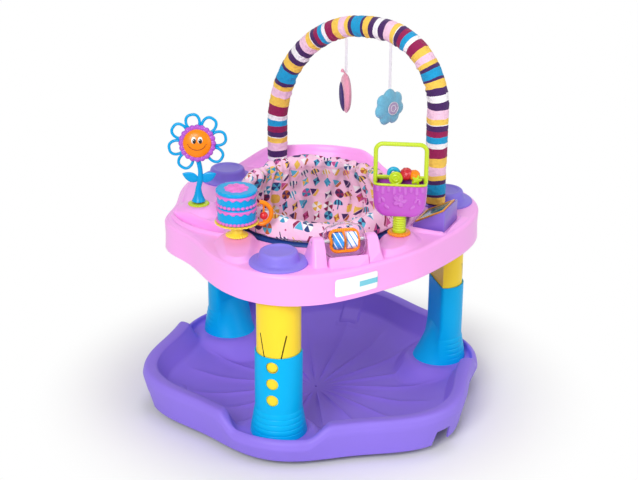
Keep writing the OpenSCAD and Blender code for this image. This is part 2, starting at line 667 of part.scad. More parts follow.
scallop_count = 20;
module flower_ring() color([0.7, 0.31, 0.82]) at_head() translate([0, 0, ring_foot]) {
  cylinder(r = scallop_r - 3, h = ring_t);
  for (k = [0 : scallop_count - 1]) rotate(k * 360 / scallop_count) translate([scallop_r - 2, 0, 0])
    cylinder(r = 5, h = ring_t, $fn = 24);
}
module flower_face() color(orange) at_head() translate([0, 0, ring_foot + ring_t]) rotate_extrude()
  polygon([[0, 0], [face_r, 0], [face_r - 1, 3], [face_r - 7, 6], [face_r / 2, 8], [0, 9]]);

// Cake: two tiers that turn on a spindle over a footed stand
cake_z = tray_top + cake_pad_h;
cake_plate_z = cake_z + 28;
cake_plate_t = 3.5;
cake_tier_z = cake_plate_z + cake_plate_t + seat_gap;
spindle_r = 4;
icing_t = 2.4;
module at_cake() at_point(cake_at, 0, 0) children();
module cake_stand() color(yellow) at_cake() rotate_extrude() polygon([[0, cake_z], [24, cake_z],
  [23, cake_z + 3], [15, cake_z + 6], [9, cake_z + 11], [9, cake_plate_z - 4], [15, cake_plate_z],
  [cake_r + 5, cake_plate_z], [cake_r + 6, cake_plate_z + cake_plate_t / 2],
  [cake_r + 5, cake_plate_z + cake_plate_t], [0, cake_plate_z + cake_plate_t]]);
module cake_spindle() color(steel) at_cake() translate([0, 0, cake_plate_z + cake_plate_t])
  cylinder(r = spindle_r, h = 2 * tier_h - 6);
module tier(z, bore_h) at_cake() difference() {
  translate([0, 0, z]) cylinder(r = cake_r, h = tier_h);
  translate([0, 0, z - 1]) cylinder(r = spindle_r + run_gap, h = bore_h);
}
upper_z = cake_tier_z + tier_h + 1.2;
module cake_lower_tier() color(cyan) tier(cake_tier_z, tier_h + 2);
module cake_upper_tier() color(cyan) tier(upper_z, tier_h - 2);
module icing(z) at_cake() {
  ring(cake_r + icing_t, cake_r + 0.05, z + 0.3, z + 6);
  ring(cake_r + icing_t, cake_r + 0.05, z + tier_h - 9, z + tier_h - 0.2);
}
module lower_icing() color(pink) icing(cake_tier_z);
module upper_icing() color(pink) {
  icing(upper_z);
  at_cake() translate([0, 0, upper_z + tier_h]) cylinder(r = 0.66 * cake_r, h = 2);
}

bow_mid_z = cake_plate_z + 20;
bow_r = 23;
bow_wire_r = 4.5;
bow_x = cake_r + 7;
pin_x = bow_x + 8;
bead_r = 8;
bead_pin_r = 2;
bead_gap = 1;
bead_z = bow_mid_z - sqrt(pow(bow_r - bow_wire_r - bead_r - bead_gap, 2) - pow(pin_x - bow_x, 2));
module at_bow() at_cake() rotate(bow_angle) children();
module bead_bow() color(orange) at_bow() {
  translate([bow_x, 0, bow_mid_z]) rotate([90, 0, 0]) rotate([0, 0, -90]) rotate_extrude(angle = 180)
    translate([bow_r, 0]) circle(bow_wire_r, $fn = 32);
  translate([pin_x, 0, bow_mid_z - bow_r + 2]) cylinder(r = bead_pin_r, h = 2 * bow_r - 4);
  translate([20, -bow_wire_r, cake_plate_z - 6]) cube([bow_x - 20 + 1, 2 * bow_wire_r, 6]);
}
module red_bead() color([0.85, 0.1, 0.12]) at_bow() difference() {
  translate([pin_x, 0, bead_z]) sphere(r = bead_r);
  translate([pin_x, 0, bead_z - bead_r - 1]) cylinder(r = bead_pin_r + run_gap, h = 2 * bead_r + 2);
}

// Roller: a clear barrel with a frame and two drums, turning on an axle between the ears
module at_roller() at_point(roller_at, roller_z, 0) rotate([0, 90, 0]) children();
shell_t = 2;
barrel_end_r = roller_r - 5;
module barrel(r, r_end, l) rotate_extrude() polygon([[0, -l / 2], [r_end - 4, -l / 2], [r_end, -l / 2 + 4],
  [r, -l / 5], [r, l / 5], [r_end, l / 2 - 4], [r_end - 4, l / 2], [0, l / 2]]);
module roller_shell() color([0.9, 0.95, 1.0, 0.4]) at_roller() difference() {
  barrel(roller_r, barrel_end_r, roller_l);
  barrel(roller_r - shell_t, barrel_end_r - shell_t, roller_l - 2 * shell_t);
  cylinder(r = axle_r + run_gap, h = roller_l + 2, center = true);
}
frame_l = roller_l - 2 * shell_t - 12;
frame_w = 2 * (barrel_end_r - shell_t) - 12;
frame_t = 7;
bar_w = 5;
frame_tilt = 62;
module roller_frame() color(orange) at_roller() rotate(frame_tilt) difference() {
  union() {
    difference() {
      cube([frame_t, frame_w, frame_l], center = true);
      for (s = [-1, 1]) translate([0, 0, s * (frame_l - bar_w) / 4])
        cube([frame_t + 1, frame_w - 2 * bar_w, (frame_l - 3 * bar_w) / 2], center = true);
    }
    for (s = [-1, 0, 1]) translate([0, 0, s * (frame_l - bar_w) / 2])
      cylinder(r = axle_r + 4, h = bar_w, center = true);
  }
  cylinder(r = axle_r + run_gap, h = roller_l, center = true);
}
drum_l = (frame_l - 3 * bar_w) / 2 - 3;
drum_r = (frame_w - 2 * bar_w) / 2 - 2;
module roller_drums() color([0.1, 0.5, 0.9]) at_roller() for (s = [-1, 1])
  translate([0, 0, s * (frame_l - bar_w) / 4]) difference() {
    cylinder(r = drum_r, h = drum_l, center = true);
    cylinder(r = axle_r + run_gap, h = drum_l + 2, center = true);
  }
module roller_axle() color(steel) at_roller()
  cylinder(r = axle_r, h = 2 * (ear_x + ear_t) - 4, center = true);

// Basket: swivels on a ridged post, with fruit beads on a rod under its handle
post_r = 13.5;
post_h = 40;
basket_z = tray_top + basket_pad_h;
socket_wall = 9;
module at_basket() at_point(basket_at, 0, basket_angle) children();
module basket_socket() color(orange) at_basket()
  ring(post_r + socket_wall, post_r + 0.3, basket_z, basket_z + 6);
shell_z = basket_z + seat_gap + post_h;
ridge_count = 6;
ridge_pitch = (post_h - 10) / ridge_count;
module basket_post() color(lime) at_basket() rotate_extrude() polygon(concat(
  [[0, basket_z + seat_gap], [post_r, basket_z + seat_gap]],
  [for (k = [0 : ridge_count - 1]) let (z = basket_z + 10 + k * ridge_pitch)
    each [[post_r, z], [post_r - 1.6, z + ridge_pitch / 2]]],
  [[post_r, shell_z], [0, shell_z]]));
corner_r = 26;
basket_wall = 2.5;
// Upright pouch: square above, with round lower corners
module pouch(w, d, h, r, z) translate([0, d / 2, z]) rotate([90, 0, 0]) linear_extrude(d) {
  translate([-w / 2, r]) square([w, h - r]);
  translate([-w / 2 + r, 0]) square([w - 2 * r, r]);
  for (s = [-1, 1]) translate([s * (w / 2 - r), r]) circle(r);
}
module basket_shell() color([0.76, 0.35, 0.84]) at_basket() difference() {
  pouch(basket_w, basket_d, basket_h, corner_r, shell_z);
  pouch(basket_w - 2 * basket_wall, basket_d - 2 * basket_wall, basket_h, corner_r - basket_wall,
    shell_z + basket_wall);
}
handle_wire_r = 4.5;
handle_x = basket_w / 2 - handle_wire_r;
bend_r = 14;
rim_top = shell_z + basket_h;
rim_t = 4;
rod_z = rim_top + fruit_r - 4;
rod_r = 2.5;
module basket_handle() color(lime) at_basket() {
  translate([0, 0, rim_top + rim_t / 2]) difference() {
    cube([basket_w, basket_d, rim_t], center = true);
    cube([basket_w - 8, basket_d - 8, rim_t + 1], center = true);
  }
  top = rim_top + handle_h - handle_wire_r;
  for (s = [-1, 1]) {
    translate([s * handle_x, 0, rim_top]) cylinder(r = handle_wire_r, h = top - bend_r - rim_top);
    translate([s * (handle_x - bend_r), 0, top - bend_r]) rotate([90, 0, 90 - s * 90])
      rotate_extrude(angle = 90) translate([bend_r, 0]) circle(handle_wire_r);
  }
  translate([0, 0, top]) rotate([0, 90, 0])
    cylinder(r = handle_wire_r, h = 2 * (handle_x - bend_r), center = true);
  translate([0, 0, rod_z]) rotate([0, 90, 0]) cylinder(r = rod_r, h = 2 * handle_x, center = true);
}
fruit_count = 5;
fruit_pitch = (2 * handle_x - 2 * handle_wire_r - 6) / fruit_count;
fruit_t = fruit_pitch - 1;
module fruit_beads() color([0.9, 0.3, 0.2]) at_basket() translate([0, 0, rod_z]) rotate([0, 90, 0])
  for (k = [0 : fruit_count - 1])
  translate([0, 0, (k - (fruit_count - 1) / 2) * fruit_pitch]) difference() {
    intersection() {
      sphere(r = fruit_r);
      cylinder(r = fruit_r, h = fruit_t, center = true);
    }
    cylinder(r = rod_r + run_gap, h = fruit_t + 2, center = true);
  }

// Wedge station: a sloping housing with a framed press panel
wedge_slope = atan2(wedge_h - wedge_low_h, wedge_l);
slope_l = wedge_l / cos(wedge_slope);
module at_wedge() at_point(wedge_at, tray_top, wedge_angle) children();
// Frame of the sloping face: X up the slope, Z square to it
module on_slope() at_wedge() translate([-wedge_l / 2, 0, wedge_low_h]) rotate([0, -wedge_slope, 0])
  children();
module wedge_block(w, inset, foot) translate([0, w / 2, 0]) rotate([90, 0, 0]) linear_extrude(w)
  polygon([[-wedge_l / 2 + inset, foot], [wedge_l / 2 - inset, foot],
    [wedge_l / 2 - inset, wedge_h - 1.6 * inset], [-wedge_l / 2 + inset, wedge_low_h - 0.6 * inset]]);
window_m = 10;
panel_gap = 0.4;
frame_h = 3;
module window(grow, z, h) translate([window_m - grow, -wedge_w / 2 + window_m - grow, z])
  cube([slope_l - 2 * (window_m - grow), wedge_w - 2 * (window_m - grow), h]);
module wedge_housing() color(purple) difference() {
  at_wedge() wedge_block(wedge_w, 0, 0.2);
  at_wedge() wedge_block(wedge_w - 2 * wedge_wall, wedge_wall, -1);
  on_slope() window(0, -12, 20);
}
module wedge_frame() color(orange) on_slope() difference() {
  window(5, 0, frame_h);
  window(0, -1, frame_h + 2);
}
panel_sink = 1.2;
module press_panel() color([0.08, 0.47, 0.55]) on_slope()
  window(-panel_gap, frame_h - panel_sink - panel_travel, panel_travel);

base_tray();
stabiliser_foot(0);  // stabiliser_foot_front
stabiliser_foot(1);  // stabiliser_foot_left
stabiliser_foot(2);  // stabiliser_foot_rear
stabiliser_brackets();
stabiliser_pins();
lower_sleeve(0);  // lower_sleeve_front
lower_sleeve(1);  // lower_sleeve_right
lower_sleeve(2);  // lower_sleeve_rear
sleeve_screws();
upper_tube(0);  // upper_tube_front
upper_tube(1);  // upper_tube_right
upper_tube(2);  // upper_tube_rear
height_button(0);  // height_button_front
height_button(1);  // height_button_right
height_button(2);  // height_button_rear
bounce_springs();
leg_guides();
leg_cap(0);  // leg_cap_front
leg_cap(1);  // leg_cap_right
leg_cap(2);  // leg_cap_rear
tray();
label_plate();
seat_ring();
seat_glides();
seat_pad();
arch_tube();
arch_sleeve();
arch_sockets();
bug_ribbon();
bug_body();
bug_antenna();
plush_ribbon();
plush_flower();
flower_socket();
flower_stem();
flower_petals();
flower_ring();
flower_face();
cake_stand();
cake_spindle();
cake_lower_tier();
cake_upper_tier();
lower_icing();
upper_icing();
bead_bow();
red_bead();
roller_shell();
roller_frame();
roller_drums();
roller_axle();
basket_socket();
basket_post();
basket_shell();
basket_handle();
fruit_beads();
wedge_housing();
wedge_frame();
press_panel();
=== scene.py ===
import math

import bmesh
import bpy
from mathutils import Euler, Matrix, Vector, noise


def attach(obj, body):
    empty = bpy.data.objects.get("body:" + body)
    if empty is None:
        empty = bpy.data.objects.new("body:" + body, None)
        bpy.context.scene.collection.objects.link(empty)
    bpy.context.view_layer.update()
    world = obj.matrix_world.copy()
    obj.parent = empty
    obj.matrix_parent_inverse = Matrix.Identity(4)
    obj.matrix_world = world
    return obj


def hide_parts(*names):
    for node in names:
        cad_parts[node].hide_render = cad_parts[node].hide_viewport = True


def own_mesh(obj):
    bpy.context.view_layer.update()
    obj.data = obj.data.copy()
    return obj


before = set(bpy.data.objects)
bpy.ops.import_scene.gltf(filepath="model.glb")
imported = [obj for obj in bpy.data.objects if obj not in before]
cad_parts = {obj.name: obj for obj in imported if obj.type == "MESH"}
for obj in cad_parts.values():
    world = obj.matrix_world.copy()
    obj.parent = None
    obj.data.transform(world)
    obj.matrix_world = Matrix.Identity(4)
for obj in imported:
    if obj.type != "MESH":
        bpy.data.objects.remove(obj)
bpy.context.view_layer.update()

# Camera and studio. The camera stands in front and a little to the left, at the height of a
# standing adult, and the light is a broad soft tent of pale panels over a pale floor.
CAMERA_AT, CAMERA_AIM = Vector((-0.7738, -2.9207, 1.5842)), Vector((0.0038, -0.0022, 0.349))
CAMERA_ROLL, CAMERA_LENS, SENSOR_WIDTH = math.radians(0.52), 88.04, 36
PANELS = (("key_panel", (-1.7, -2.6, 2.1), 1.3, 74),
          ("fill_panel", (2.3, -2.2, 1.5), 1.8, 26),
          ("top_panel", (0.3, 0.5, 3.0), 2.0, 22))
PANEL_AIM = Vector((0, 0, 0.4))
TENT_GLOW, FLOOR_REACH, FLOOR_DROP = 0.33, 9, 0.0005
SHADOW_NEAR, SHADOW_FAR = 0.36, 0.62

sight = (CAMERA_AIM - CAMERA_AT).normalized()
side = sight.cross(Vector((0, 0, 1))).normalized()
tall = side.cross(sight)
across = side * math.cos(CAMERA_ROLL) + tall * math.sin(CAMERA_ROLL)
up = tall * math.cos(CAMERA_ROLL) - side * math.sin(CAMERA_ROLL)
eye = Matrix((across, up, -sight)).transposed().to_4x4()
eye.translation = CAMERA_AT
lens = bpy.data.cameras.new("photo_camera")
lens.sensor_fit = "HORIZONTAL"
lens.sensor_width = SENSOR_WIDTH
lens.lens = CAMERA_LENS
camera = bpy.data.objects.new("photo_camera", lens)
camera.matrix_world = eye
bpy.context.collection.objects.link(camera)
bpy.context.scene.camera = camera
bpy.context.scene.view_settings.view_transform = "Standard"


def fill_in(tree, node, inputs):
    """Give a node's inputs, by name or number, a value or another node's output."""
    for slot, value in inputs.items():
        value = value.socket if isinstance(value, Reading) else value
        if isinstance(value, bpy.types.NodeSocket):
            tree.links.new(value, node.inputs[slot])
        else:
            node.inputs[slot].default_value = value
    return node


def add_node(tree, kind, inputs=None, **settings):
    """New node with its settings and its inputs."""
    node = tree.nodes.new(kind)
    for key, value in settings.items():
        setattr(node, key, value)
    return fill_in(tree, node, inputs or {})


class Reading:
    """A number read off the surface; arithmetic and comparisons with it become Math nodes."""

    def __init__(self, tree, socket):
        self.tree = tree
        self.socket = socket

    def sums(self, operation, *terms):
        inputs = dict(enumerate((self, *terms)))
        node = add_node(self.tree, "ShaderNodeMath", inputs, operation=operation)
        return Reading(self.tree, node.outputs[0])

    def __add__(self, other):
        return self.sums("ADD", other)

    def __sub__(self, other):
        return self.sums("SUBTRACT", other)

    def __mul__(self, other):
        return self.sums("MULTIPLY", other)

    def __lt__(self, other):
        return self.sums("LESS_THAN", other)

    def __gt__(self, other):
        return self.sums("GREATER_THAN", other)

    def __abs__(self):
        return self.sums("ABSOLUTE")


def plain_sight(tree):
    """1 for rays that the camera, a gloss or a clear plastic looks along."""
    rays = tree.nodes.new("ShaderNodeLightPath").outputs
    seen = Reading(tree, rays["Is Camera Ray"])
    return seen.sums("MAXIMUM", rays["Is Glossy Ray"]).sums("MAXIMUM", rays["Is Transmission Ray"])


world = bpy.data.worlds.new("studio")
bpy.context.scene.world = world
world.use_nodes = True
tent = world.node_tree
tent_glow = fill_in(tent, tent.nodes["Background"], {"Color": (1, 1, 1, 1), "Strength": TENT_GLOW})
tent_seen = add_node(tent, "ShaderNodeBackground", {"Color": (1, 1, 1, 1)})
tent_mix = add_node(tent, "ShaderNodeMixShader",
                    {0: plain_sight(tent), 1: tent_glow.outputs[0], 2: tent_seen.outputs[0]})
fill_in(tent, tent.nodes["World Output"], {"Surface": tent_mix.outputs[0]})

for name, place, size, watts in PANELS:
    panel = bpy.data.lights.new(name, "AREA")
    panel.size = size
    panel.energy = watts
    lamp = bpy.data.objects.new(name, panel)
    aim = PANEL_AIM - Vector(place)
    lamp.matrix_world = Matrix.Translation(place) @ aim.to_track_quat("-Z", "Y").to_matrix().to_4x4()
    bpy.context.collection.objects.link(lamp)


def bare_finish(name):
    """New material, its node tree and its shader."""
    finish = bpy.data.materials.new(name)
    finish.use_nodes = True
    return finish, finish.node_tree, finish.node_tree.nodes["Principled BSDF"]


def object_place(tree):
    """Place on the piece, in metres."""
    return tree.nodes.new("ShaderNodeTexCoord").outputs["Object"]


bpy.ops.mesh.primitive_circle_add(vertices=64, radius=FLOOR_REACH, fill_type="NGON",
                                  location=(0, 0, -FLOOR_DROP))
studio_floor = bpy.context.object
studio_floor.name = "studio_floor"
floor_paint, paint, paint_shader = bare_finish("floor_paint")
fill_in(paint, paint_shader, {"Base Color": (0.93, 0.93, 0.93, 1), "Roughness": 0.9})
floor_far = add_node(paint, "ShaderNodeVectorMath", {0: object_place(paint)}, operation="LENGTH")
floor_fade = add_node(paint, "ShaderNodeMapRange", {"Value": floor_far.outputs["Value"],
                                                    "From Min": SHADOW_NEAR, "From Max": SHADOW_FAR},
                      interpolation_type="SMOOTHSTEP")
floor_glow = paint.nodes.new("ShaderNodeEmission")
floor_mix = add_node(paint, "ShaderNodeMixShader", {0: plain_sight(paint) * floor_fade.outputs["Result"],
                                                    1: paint_shader.outputs[0], 2: floor_glow.outputs[0]})
fill_in(paint, paint.nodes["Material Output"], {"Surface": floor_mix.outputs[0]})
studio_floor.data.materials.append(floor_paint)

# Base tray. A wide six-cornered dish, rotation moulded in purple polyethylene, with a rolled rim
# that dips in front of each leg, shallow flutes from the middle, three mounds for the legs and
# finger notches in the skirt.
MM = 0.001
LEGS = {"front": -120, "right": 0, "rear": 120}
LEG_REACH, LEG_HOLE, MOUND_TOP = 280, 47, 50
FOOT_TURN, FOOT_REACH = 60, 290
BASE_REACH, LOBE_OUT, CORNER_OUT = 331, 29, 14
RIM_TOP, RIM_DIP, SKIRT_FOOT, NOTCH_HIGH = 92, 28, 14, 32
BASE_WALL, BASE_STEPS, DISH_STEPS, DISH_MIDDLE = 4, 720, 64, 3


def ease(low, high, x):
    """0 below low, 1 above high and a soft step between."""
    u = min(1.0, max(0.0, (x - low) / (high - low)))
    return u * u * (3 - 2 * u)


def off_step(turn, step):
    """How far a turn is from the nearest whole step."""
    return turn - step * round(turn / step)


def polar(reach, turn, z=0.0):
    """Point at a reach and a turn, in degrees, round the upright axis."""
    return reach * math.cos(math.radians(turn)), reach * math.sin(math.radians(turn)), z


def rounded(points, pieces):
    """Catmull-Rom curve through the points."""
    out = []
    ends = [points[0], *points, points[-1]]
    for before, start, stop, after in zip(ends, ends[1:], ends[2:], ends[3:]):
        for t in (j / pieces for j in range(pieces)):
            out.append(tuple(
                b + 0.5 * t * (c - a + t * (2 * a - 5 * b + 4 * c - d + t * (3 * b - a - 3 * c + d)))
                for a, b, c, d in zip(before, start, stop, after)))
    return out + [tuple(points[-1])]


def as_piece(name, points, faces, finish):
    """Smooth object at the origin from points in millimetres."""
    mesh = bpy.data.meshes.new(name)
    mesh.from_pydata([(x * MM, y * MM, z * MM) for x, y, z in points], [], faces)
    mesh.materials.append(finish)
    mesh.polygons.foreach_set("use_smooth", [True] * len(mesh.polygons))
    mesh.update()
    piece = bpy.data.objects.new(name, mesh)
    bpy.context.collection.objects.link(piece)
    return piece


def strip_faces(rows, columns, loop_rows=False, loop_columns=False):
    """Quads over a grid of points, row by row."""
    return [(i * columns + j, i * columns + (j + 1) % columns,
             ((i + 1) % rows) * columns + (j + 1) % columns, ((i + 1) % rows) * columns + j)
            for i in range(rows if loop_rows else rows - 1)
            for j in range(columns if loop_columns else columns - 1)]


def face_out(piece):
    """Merge doubles and turn the faces outwards."""
    work = bmesh.new()
    work.from_mesh(piece.data)
    bmesh.ops.remove_doubles(work, verts=work.verts, dist=1e-6)
    bmesh.ops.recalc_face_normals(work, faces=work.faces)
    work.to_mesh(piece.data)
    work.free()
    piece.data.update()
    return piece


def swept_round(name, section, steps, finish):
    """Closed ring from section(turn), a closed outline of (reach, height) points."""
    turns = [360 * k / steps for k in range(steps)]
    rows = [section(turn) for turn in turns]
    points = [polar(r, turn, z) for turn, row in zip(turns, rows) for r, z in row]
    return face_out(as_piece(name, points, strip_faces(steps, len(rows[0]), True, True), finish))


def keep_shape(piece):
    """Turn the piece and its modifiers into a plain mesh."""
    graph = bpy.context.evaluated_depsgraph_get()
    mesh = bpy.data.meshes.new_from_object(piece.evaluated_get(graph))
    piece.modifiers.clear()
    piece.data = mesh
    return piece


def bore(piece, cutters):
    """Cut round holes: each cutter is (centre, direction, radius, length) in millimetres."""
    tool = bmesh.new()
    for centre, way, radius, length in cutters:
        turn = Vector((0, 0, 1)).rotation_difference(Vector(way)).to_matrix().to_4x4()
        bmesh.ops.create_cone(tool, cap_ends=True, segments=64, radius1=radius * MM, radius2=radius * MM,
                              depth=length * MM, matrix=Matrix.Translation(Vector(centre) * MM) @ turn)
    mesh = bpy.data.meshes.new("cutter")
    tool.to_mesh(mesh)
    tool.free()
    cutter = bpy.data.objects.new("cutter", mesh)
    bpy.context.collection.objects.link(cutter)
    cut = piece.modifiers.new("bore", "BOOLEAN")
    cut.operation = "DIFFERENCE"
    cut.solver = "MANIFOLD"
    cut.object = cutter
    keep_shape(piece)
    bpy.data.objects.remove(cutter)
    bpy.data.meshes.remove(mesh)
    return piece


def smooth_but_edges(piece, degrees):
    """Smooth shading with the edges that are sharper than an angle kept hard."""
    piece.data.polygons.foreach_set("use_smooth", [True] * len(piece.data.polygons))
    piece.data.set_sharp_from_angle(angle=math.radians(degrees))
    return piece


def blend_colour(tree, share, first, second):
    """Mix two colours, each a socket or a linear colour."""
    mix = add_node(tree, "ShaderNodeMix", {"Factor": share, 6: first, 7: second}, data_type="RGBA")
    return mix.outputs[2]


def scaled(tree, vector, share):
    """A colour or a place times a number."""
    return add_node(tree, "ShaderNodeVectorMath", {0: vector, "Scale": share}, operation="SCALE").outputs[0]


def mottle(tree, place, scale, detail=2.0):
    """Soft random unevenness from 0 to 1."""
    cloud = add_node(tree, "ShaderNodeTexNoise", {"Vector": place, "Scale": scale, "Detail": detail})
    return Reading(tree, cloud.outputs["Fac"])


def node_group(name, kind, inputs, outputs):
    """New node group with named inputs and outputs; gives its inputs' sockets and its last node too."""
    group = bpy.data.node_groups.new(name, kind)
    for way, sockets in (("INPUT", inputs), ("OUTPUT", outputs)):
        for socket, form in sockets.items():
            group.interface.new_socket(socket, in_out=way, socket_type=f"NodeSocket{form}")
    return group, group.nodes.new("NodeGroupInput").outputs, group.nodes.new("NodeGroupOutput")


# Moulded skin: faint cloudiness of the colour, uneven gloss and the fine grain of the mould.
moulded_skin, skin_in, skin_out = node_group(
    "moulded_skin", "ShaderNodeTree",
    {"Colour": "Color", "Gloss": "Float", "Cloud": "Float", "Grain Size": "Float"},
    {"Colour": "Color", "Roughness": "Float", "Height": "Float"})
skin_place = object_place(moulded_skin)
skin_swing = mottle(moulded_skin, skin_place, 14, detail=3) - 0.5
skin_grain = mottle(moulded_skin, skin_place, skin_in["Grain Size"])
fill_in(moulded_skin, skin_out, {
    "Colour": scaled(moulded_skin, skin_in["Colour"], skin_swing * skin_in["Cloud"] + 1.0),
    "Roughness": skin_swing * 0.18 + skin_in["Gloss"] + skin_grain * 0.06, "Height": skin_grain})


def linear(red, green, blue):
    """Linear colour from 0 to 255 display values."""
    return tuple((c / 255 / 12.92 if c <= 10 else ((c / 255 + 0.055) / 1.055) ** 2.4)
                 for c in (red, green, blue)) + (1.0,)


def plastic(name, colour, gloss=0.38, cloud=0.06, grain=900.0, depth=0.00006, coat=0.0, shine=0.3):
    """Moulded plastic of one colour, with the mould's grain."""
    finish, tree, shader = bare_finish(name)
    surface = add_node(tree, "ShaderNodeGroup", {"Colour": colour, "Gloss": gloss, "Cloud": cloud,
                                                 "Grain Size": grain}, node_tree=moulded_skin).outputs
    bump = add_node(tree, "ShaderNodeBump", {"Strength": 0.5, "Distance": depth, "Height": surface["Height"]})
    fill_in(tree, shader, {"Base Color": surface["Colour"], "Roughness": surface["Roughness"],
                           "Normal": bump.outputs[0], "Specular IOR Level": shine,
                           "Coat Weight": coat, "Coat Roughness": 0.15})
    return finish


def base_reach(turn):
    """Reach of the rim: six corners, three of them drawn further out."""
    lobe, corner = math.cos(math.radians(6 * turn)), math.cos(math.radians(3 * turn))
    return BASE_REACH + LOBE_OUT * (1 + lobe) / 2 + CORNER_OUT * (1 - corner) / 2


def near_leg(turn):
    """1 where the rim dips in front of a leg."""
    return 1 - ease(12, 21, abs(off_step(turn, 120)))


def dish_height(reach, turn, share):
    """Top of the dish, with mounds at the legs, tongues at the feet and flutes from the middle."""
    z = 5 + 4 * ease(0, 0.7, share) + 36 * max(0.0, (share - 0.55) / 0.45) ** 2
    flute = (1 - abs(math.sin(math.radians(turn * 9)))) ** 2
    z += 4.2 * flute * ease(14, 70, reach) * (1 - ease(0.8, 0.97, share))
    x, y, _ = polar(reach, off_step(turn - FOOT_TURN, 120))
    z += 5 * (1 - ease(19, 22.5, abs(y))) * ease(-9, -5, x - FOOT_REACH)
    z += 2.6 * (1 - ease(24, 28, abs(y))) * math.exp(-((x - FOOT_REACH + 13) / 3.5) ** 2)
    x, y, _ = polar(reach, off_step(turn, 120))
    return z + (MOUND_TOP - z) * (1 - ease(66, 104, math.hypot(x - LEG_REACH, y)))


def base_section(turn):
    """The dish from the middle out, the rolled rim, the skirt and the underside."""
    r, dip = base_reach(turn), near_leg(turn)
    z = RIM_TOP - RIM_DIP * dip
    crest, inner = r - 34 + 14 * dip, r - 52
    shares = [k / DISH_STEPS for k in range(DISH_STEPS + 1)]
    reaches = [DISH_MIDDLE + (inner - DISH_MIDDLE) * share for share in shares]
    top = [(x, dish_height(x, turn, share)) for x, share in zip(reaches, shares)]
    lip = max(z - 10 - 6 * dip, dish_height(crest, turn, 1))
    off_foot = off_step(turn - FOOT_TURN, 120)
    skirt = SKIRT_FOOT + NOTCH_HIGH * (1 - ease(3.3, 3.7, abs(off_foot)))
    rim = [top[-1], (crest, lip), (crest + 6, z - 2), (r - 10, z), (r - 3, z - 6), (r, z - 18)]
    rim = rounded(rim, 5)[1:]
    lean = r - 15 * (1 - (skirt - SKIRT_FOOT) / max(1, z - 18 - SKIRT_FOOT))
    wall = [(r + (lean - r) * k / 6, z - 18 + (skirt - z + 18) * k / 6) for k in range(1, 7)]
    under = [(lean - BASE_WALL, skirt), (r - 4.5, z - 22), (r - 10, z - 6), (crest + 8, z - 9),
             (crest + 4, z - 18), (inner + 2, top[-1][1] - BASE_WALL)]
    for x, h in top[-5::-4]:
        along, beside, _ = polar(x, off_foot)
        boss = (1 - ease(9, 14, abs(along - FOOT_REACH))) * (1 - ease(25, 29, abs(beside)))
        under.append((x, h - BASE_WALL - max(0, h - 25.2) * boss))
    return top + rim + wall + under + [(DISH_MIDDLE, 1)]


base_purple = plastic("base_purple", linear(146, 120, 232), gloss=0.46, cloud=0.08, grain=700, depth=0.00012)
base_shell = swept_round("base_shell", base_section, BASE_STEPS, base_purple)
bore(base_shell, [(polar(LEG_REACH, turn, MOUND_TOP), (0, 0, 1), LEG_HOLE, 60) for turn in LEGS.values()])
smooth_but_edges(base_shell, 40)
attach(base_shell, "base")
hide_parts("base_tray")

# Stabiliser feet. Three folding pads in darker purple plastic under the skirt, each on a steel pin
# between the ears of a bracket; they keep their moulded solids.
foot_purple = plastic("foot_purple", linear(104, 86, 186), gloss=0.5, cloud=0.08, grain=1100)
STEEL_LIGHT, STEEL_DARK = linear(205, 205, 210), tuple(0.8 * c for c in linear(205, 205, 210)[:3]) + (1.0,)

# Plated steel with fine drawn scratches.
plated_steel, steel, steel_shader = bare_finish("plated_steel")
steel_place = add_node(steel, "ShaderNodeMapping", {"Vector": object_place(steel), "Scale": (1, 1, 14)})
steel_drawn = mottle(steel, steel_place.outputs[0], 60, detail=4)
fill_in(steel, steel_shader, {"Base Color": blend_colour(steel, steel_drawn, STEEL_LIGHT, STEEL_DARK),
                              "Roughness": steel_drawn * 0.25 + 0.18, "Metallic": 1.0})


def refinish(finish, *nodes):
    """Give kept solids a finish."""
    for node in nodes:
        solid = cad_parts[node]
        solid.data.materials.clear()
        solid.data.materials.append(finish)


refinish(foot_purple, "stabiliser_foot_front", "stabiliser_foot_left", "stabiliser_foot_rear",
         "stabiliser_brackets")
refinish(plated_steel, "stabiliser_pins", "sleeve_screws", "cake_spindle", "roller_axle")

# Lower leg sleeves. Cyan blow-moulded posts of D section, flat towards the middle, that widen into a
# round ringed foot; a slope joins the flat to the round foot, and three holes face outwards.
sleeve_cyan = plastic("sleeve_cyan", linear(0, 180, 240), gloss=0.36, cloud=0.07, grain=800, shine=0.12)
SLEEVE_R, SLEEVE_FLAT, SLEEVE_WALL = 47.4, 15.4, 3
SLEEVE_FOOT, SLEEVE_TOP, FLARE_R, FLARE_HIGH, SLOPE_HIGH = 50, 228, 57, 55, 80
BUTTON_Z, HOLE_R, HOLE_STEP = 208, 12.5, 36
D_TURNS, D_SQUARE = range(0, 360, 3), 10.5


def d_ring(inset):
    """Radii of a D outline with softened corners; its flat is on the side at 180 degrees."""
    radius, radii = SLEEVE_R - inset, []
    for turn in D_TURNS:
        inward = -math.cos(math.radians(turn))
        flat = (SLEEVE_FLAT - inset) / max(0.05, inward)
        softened = (radius ** -D_SQUARE + flat ** -D_SQUARE) ** (-1 / D_SQUARE)
        radii.append(softened if inward > 0.05 else radius)
    return radii


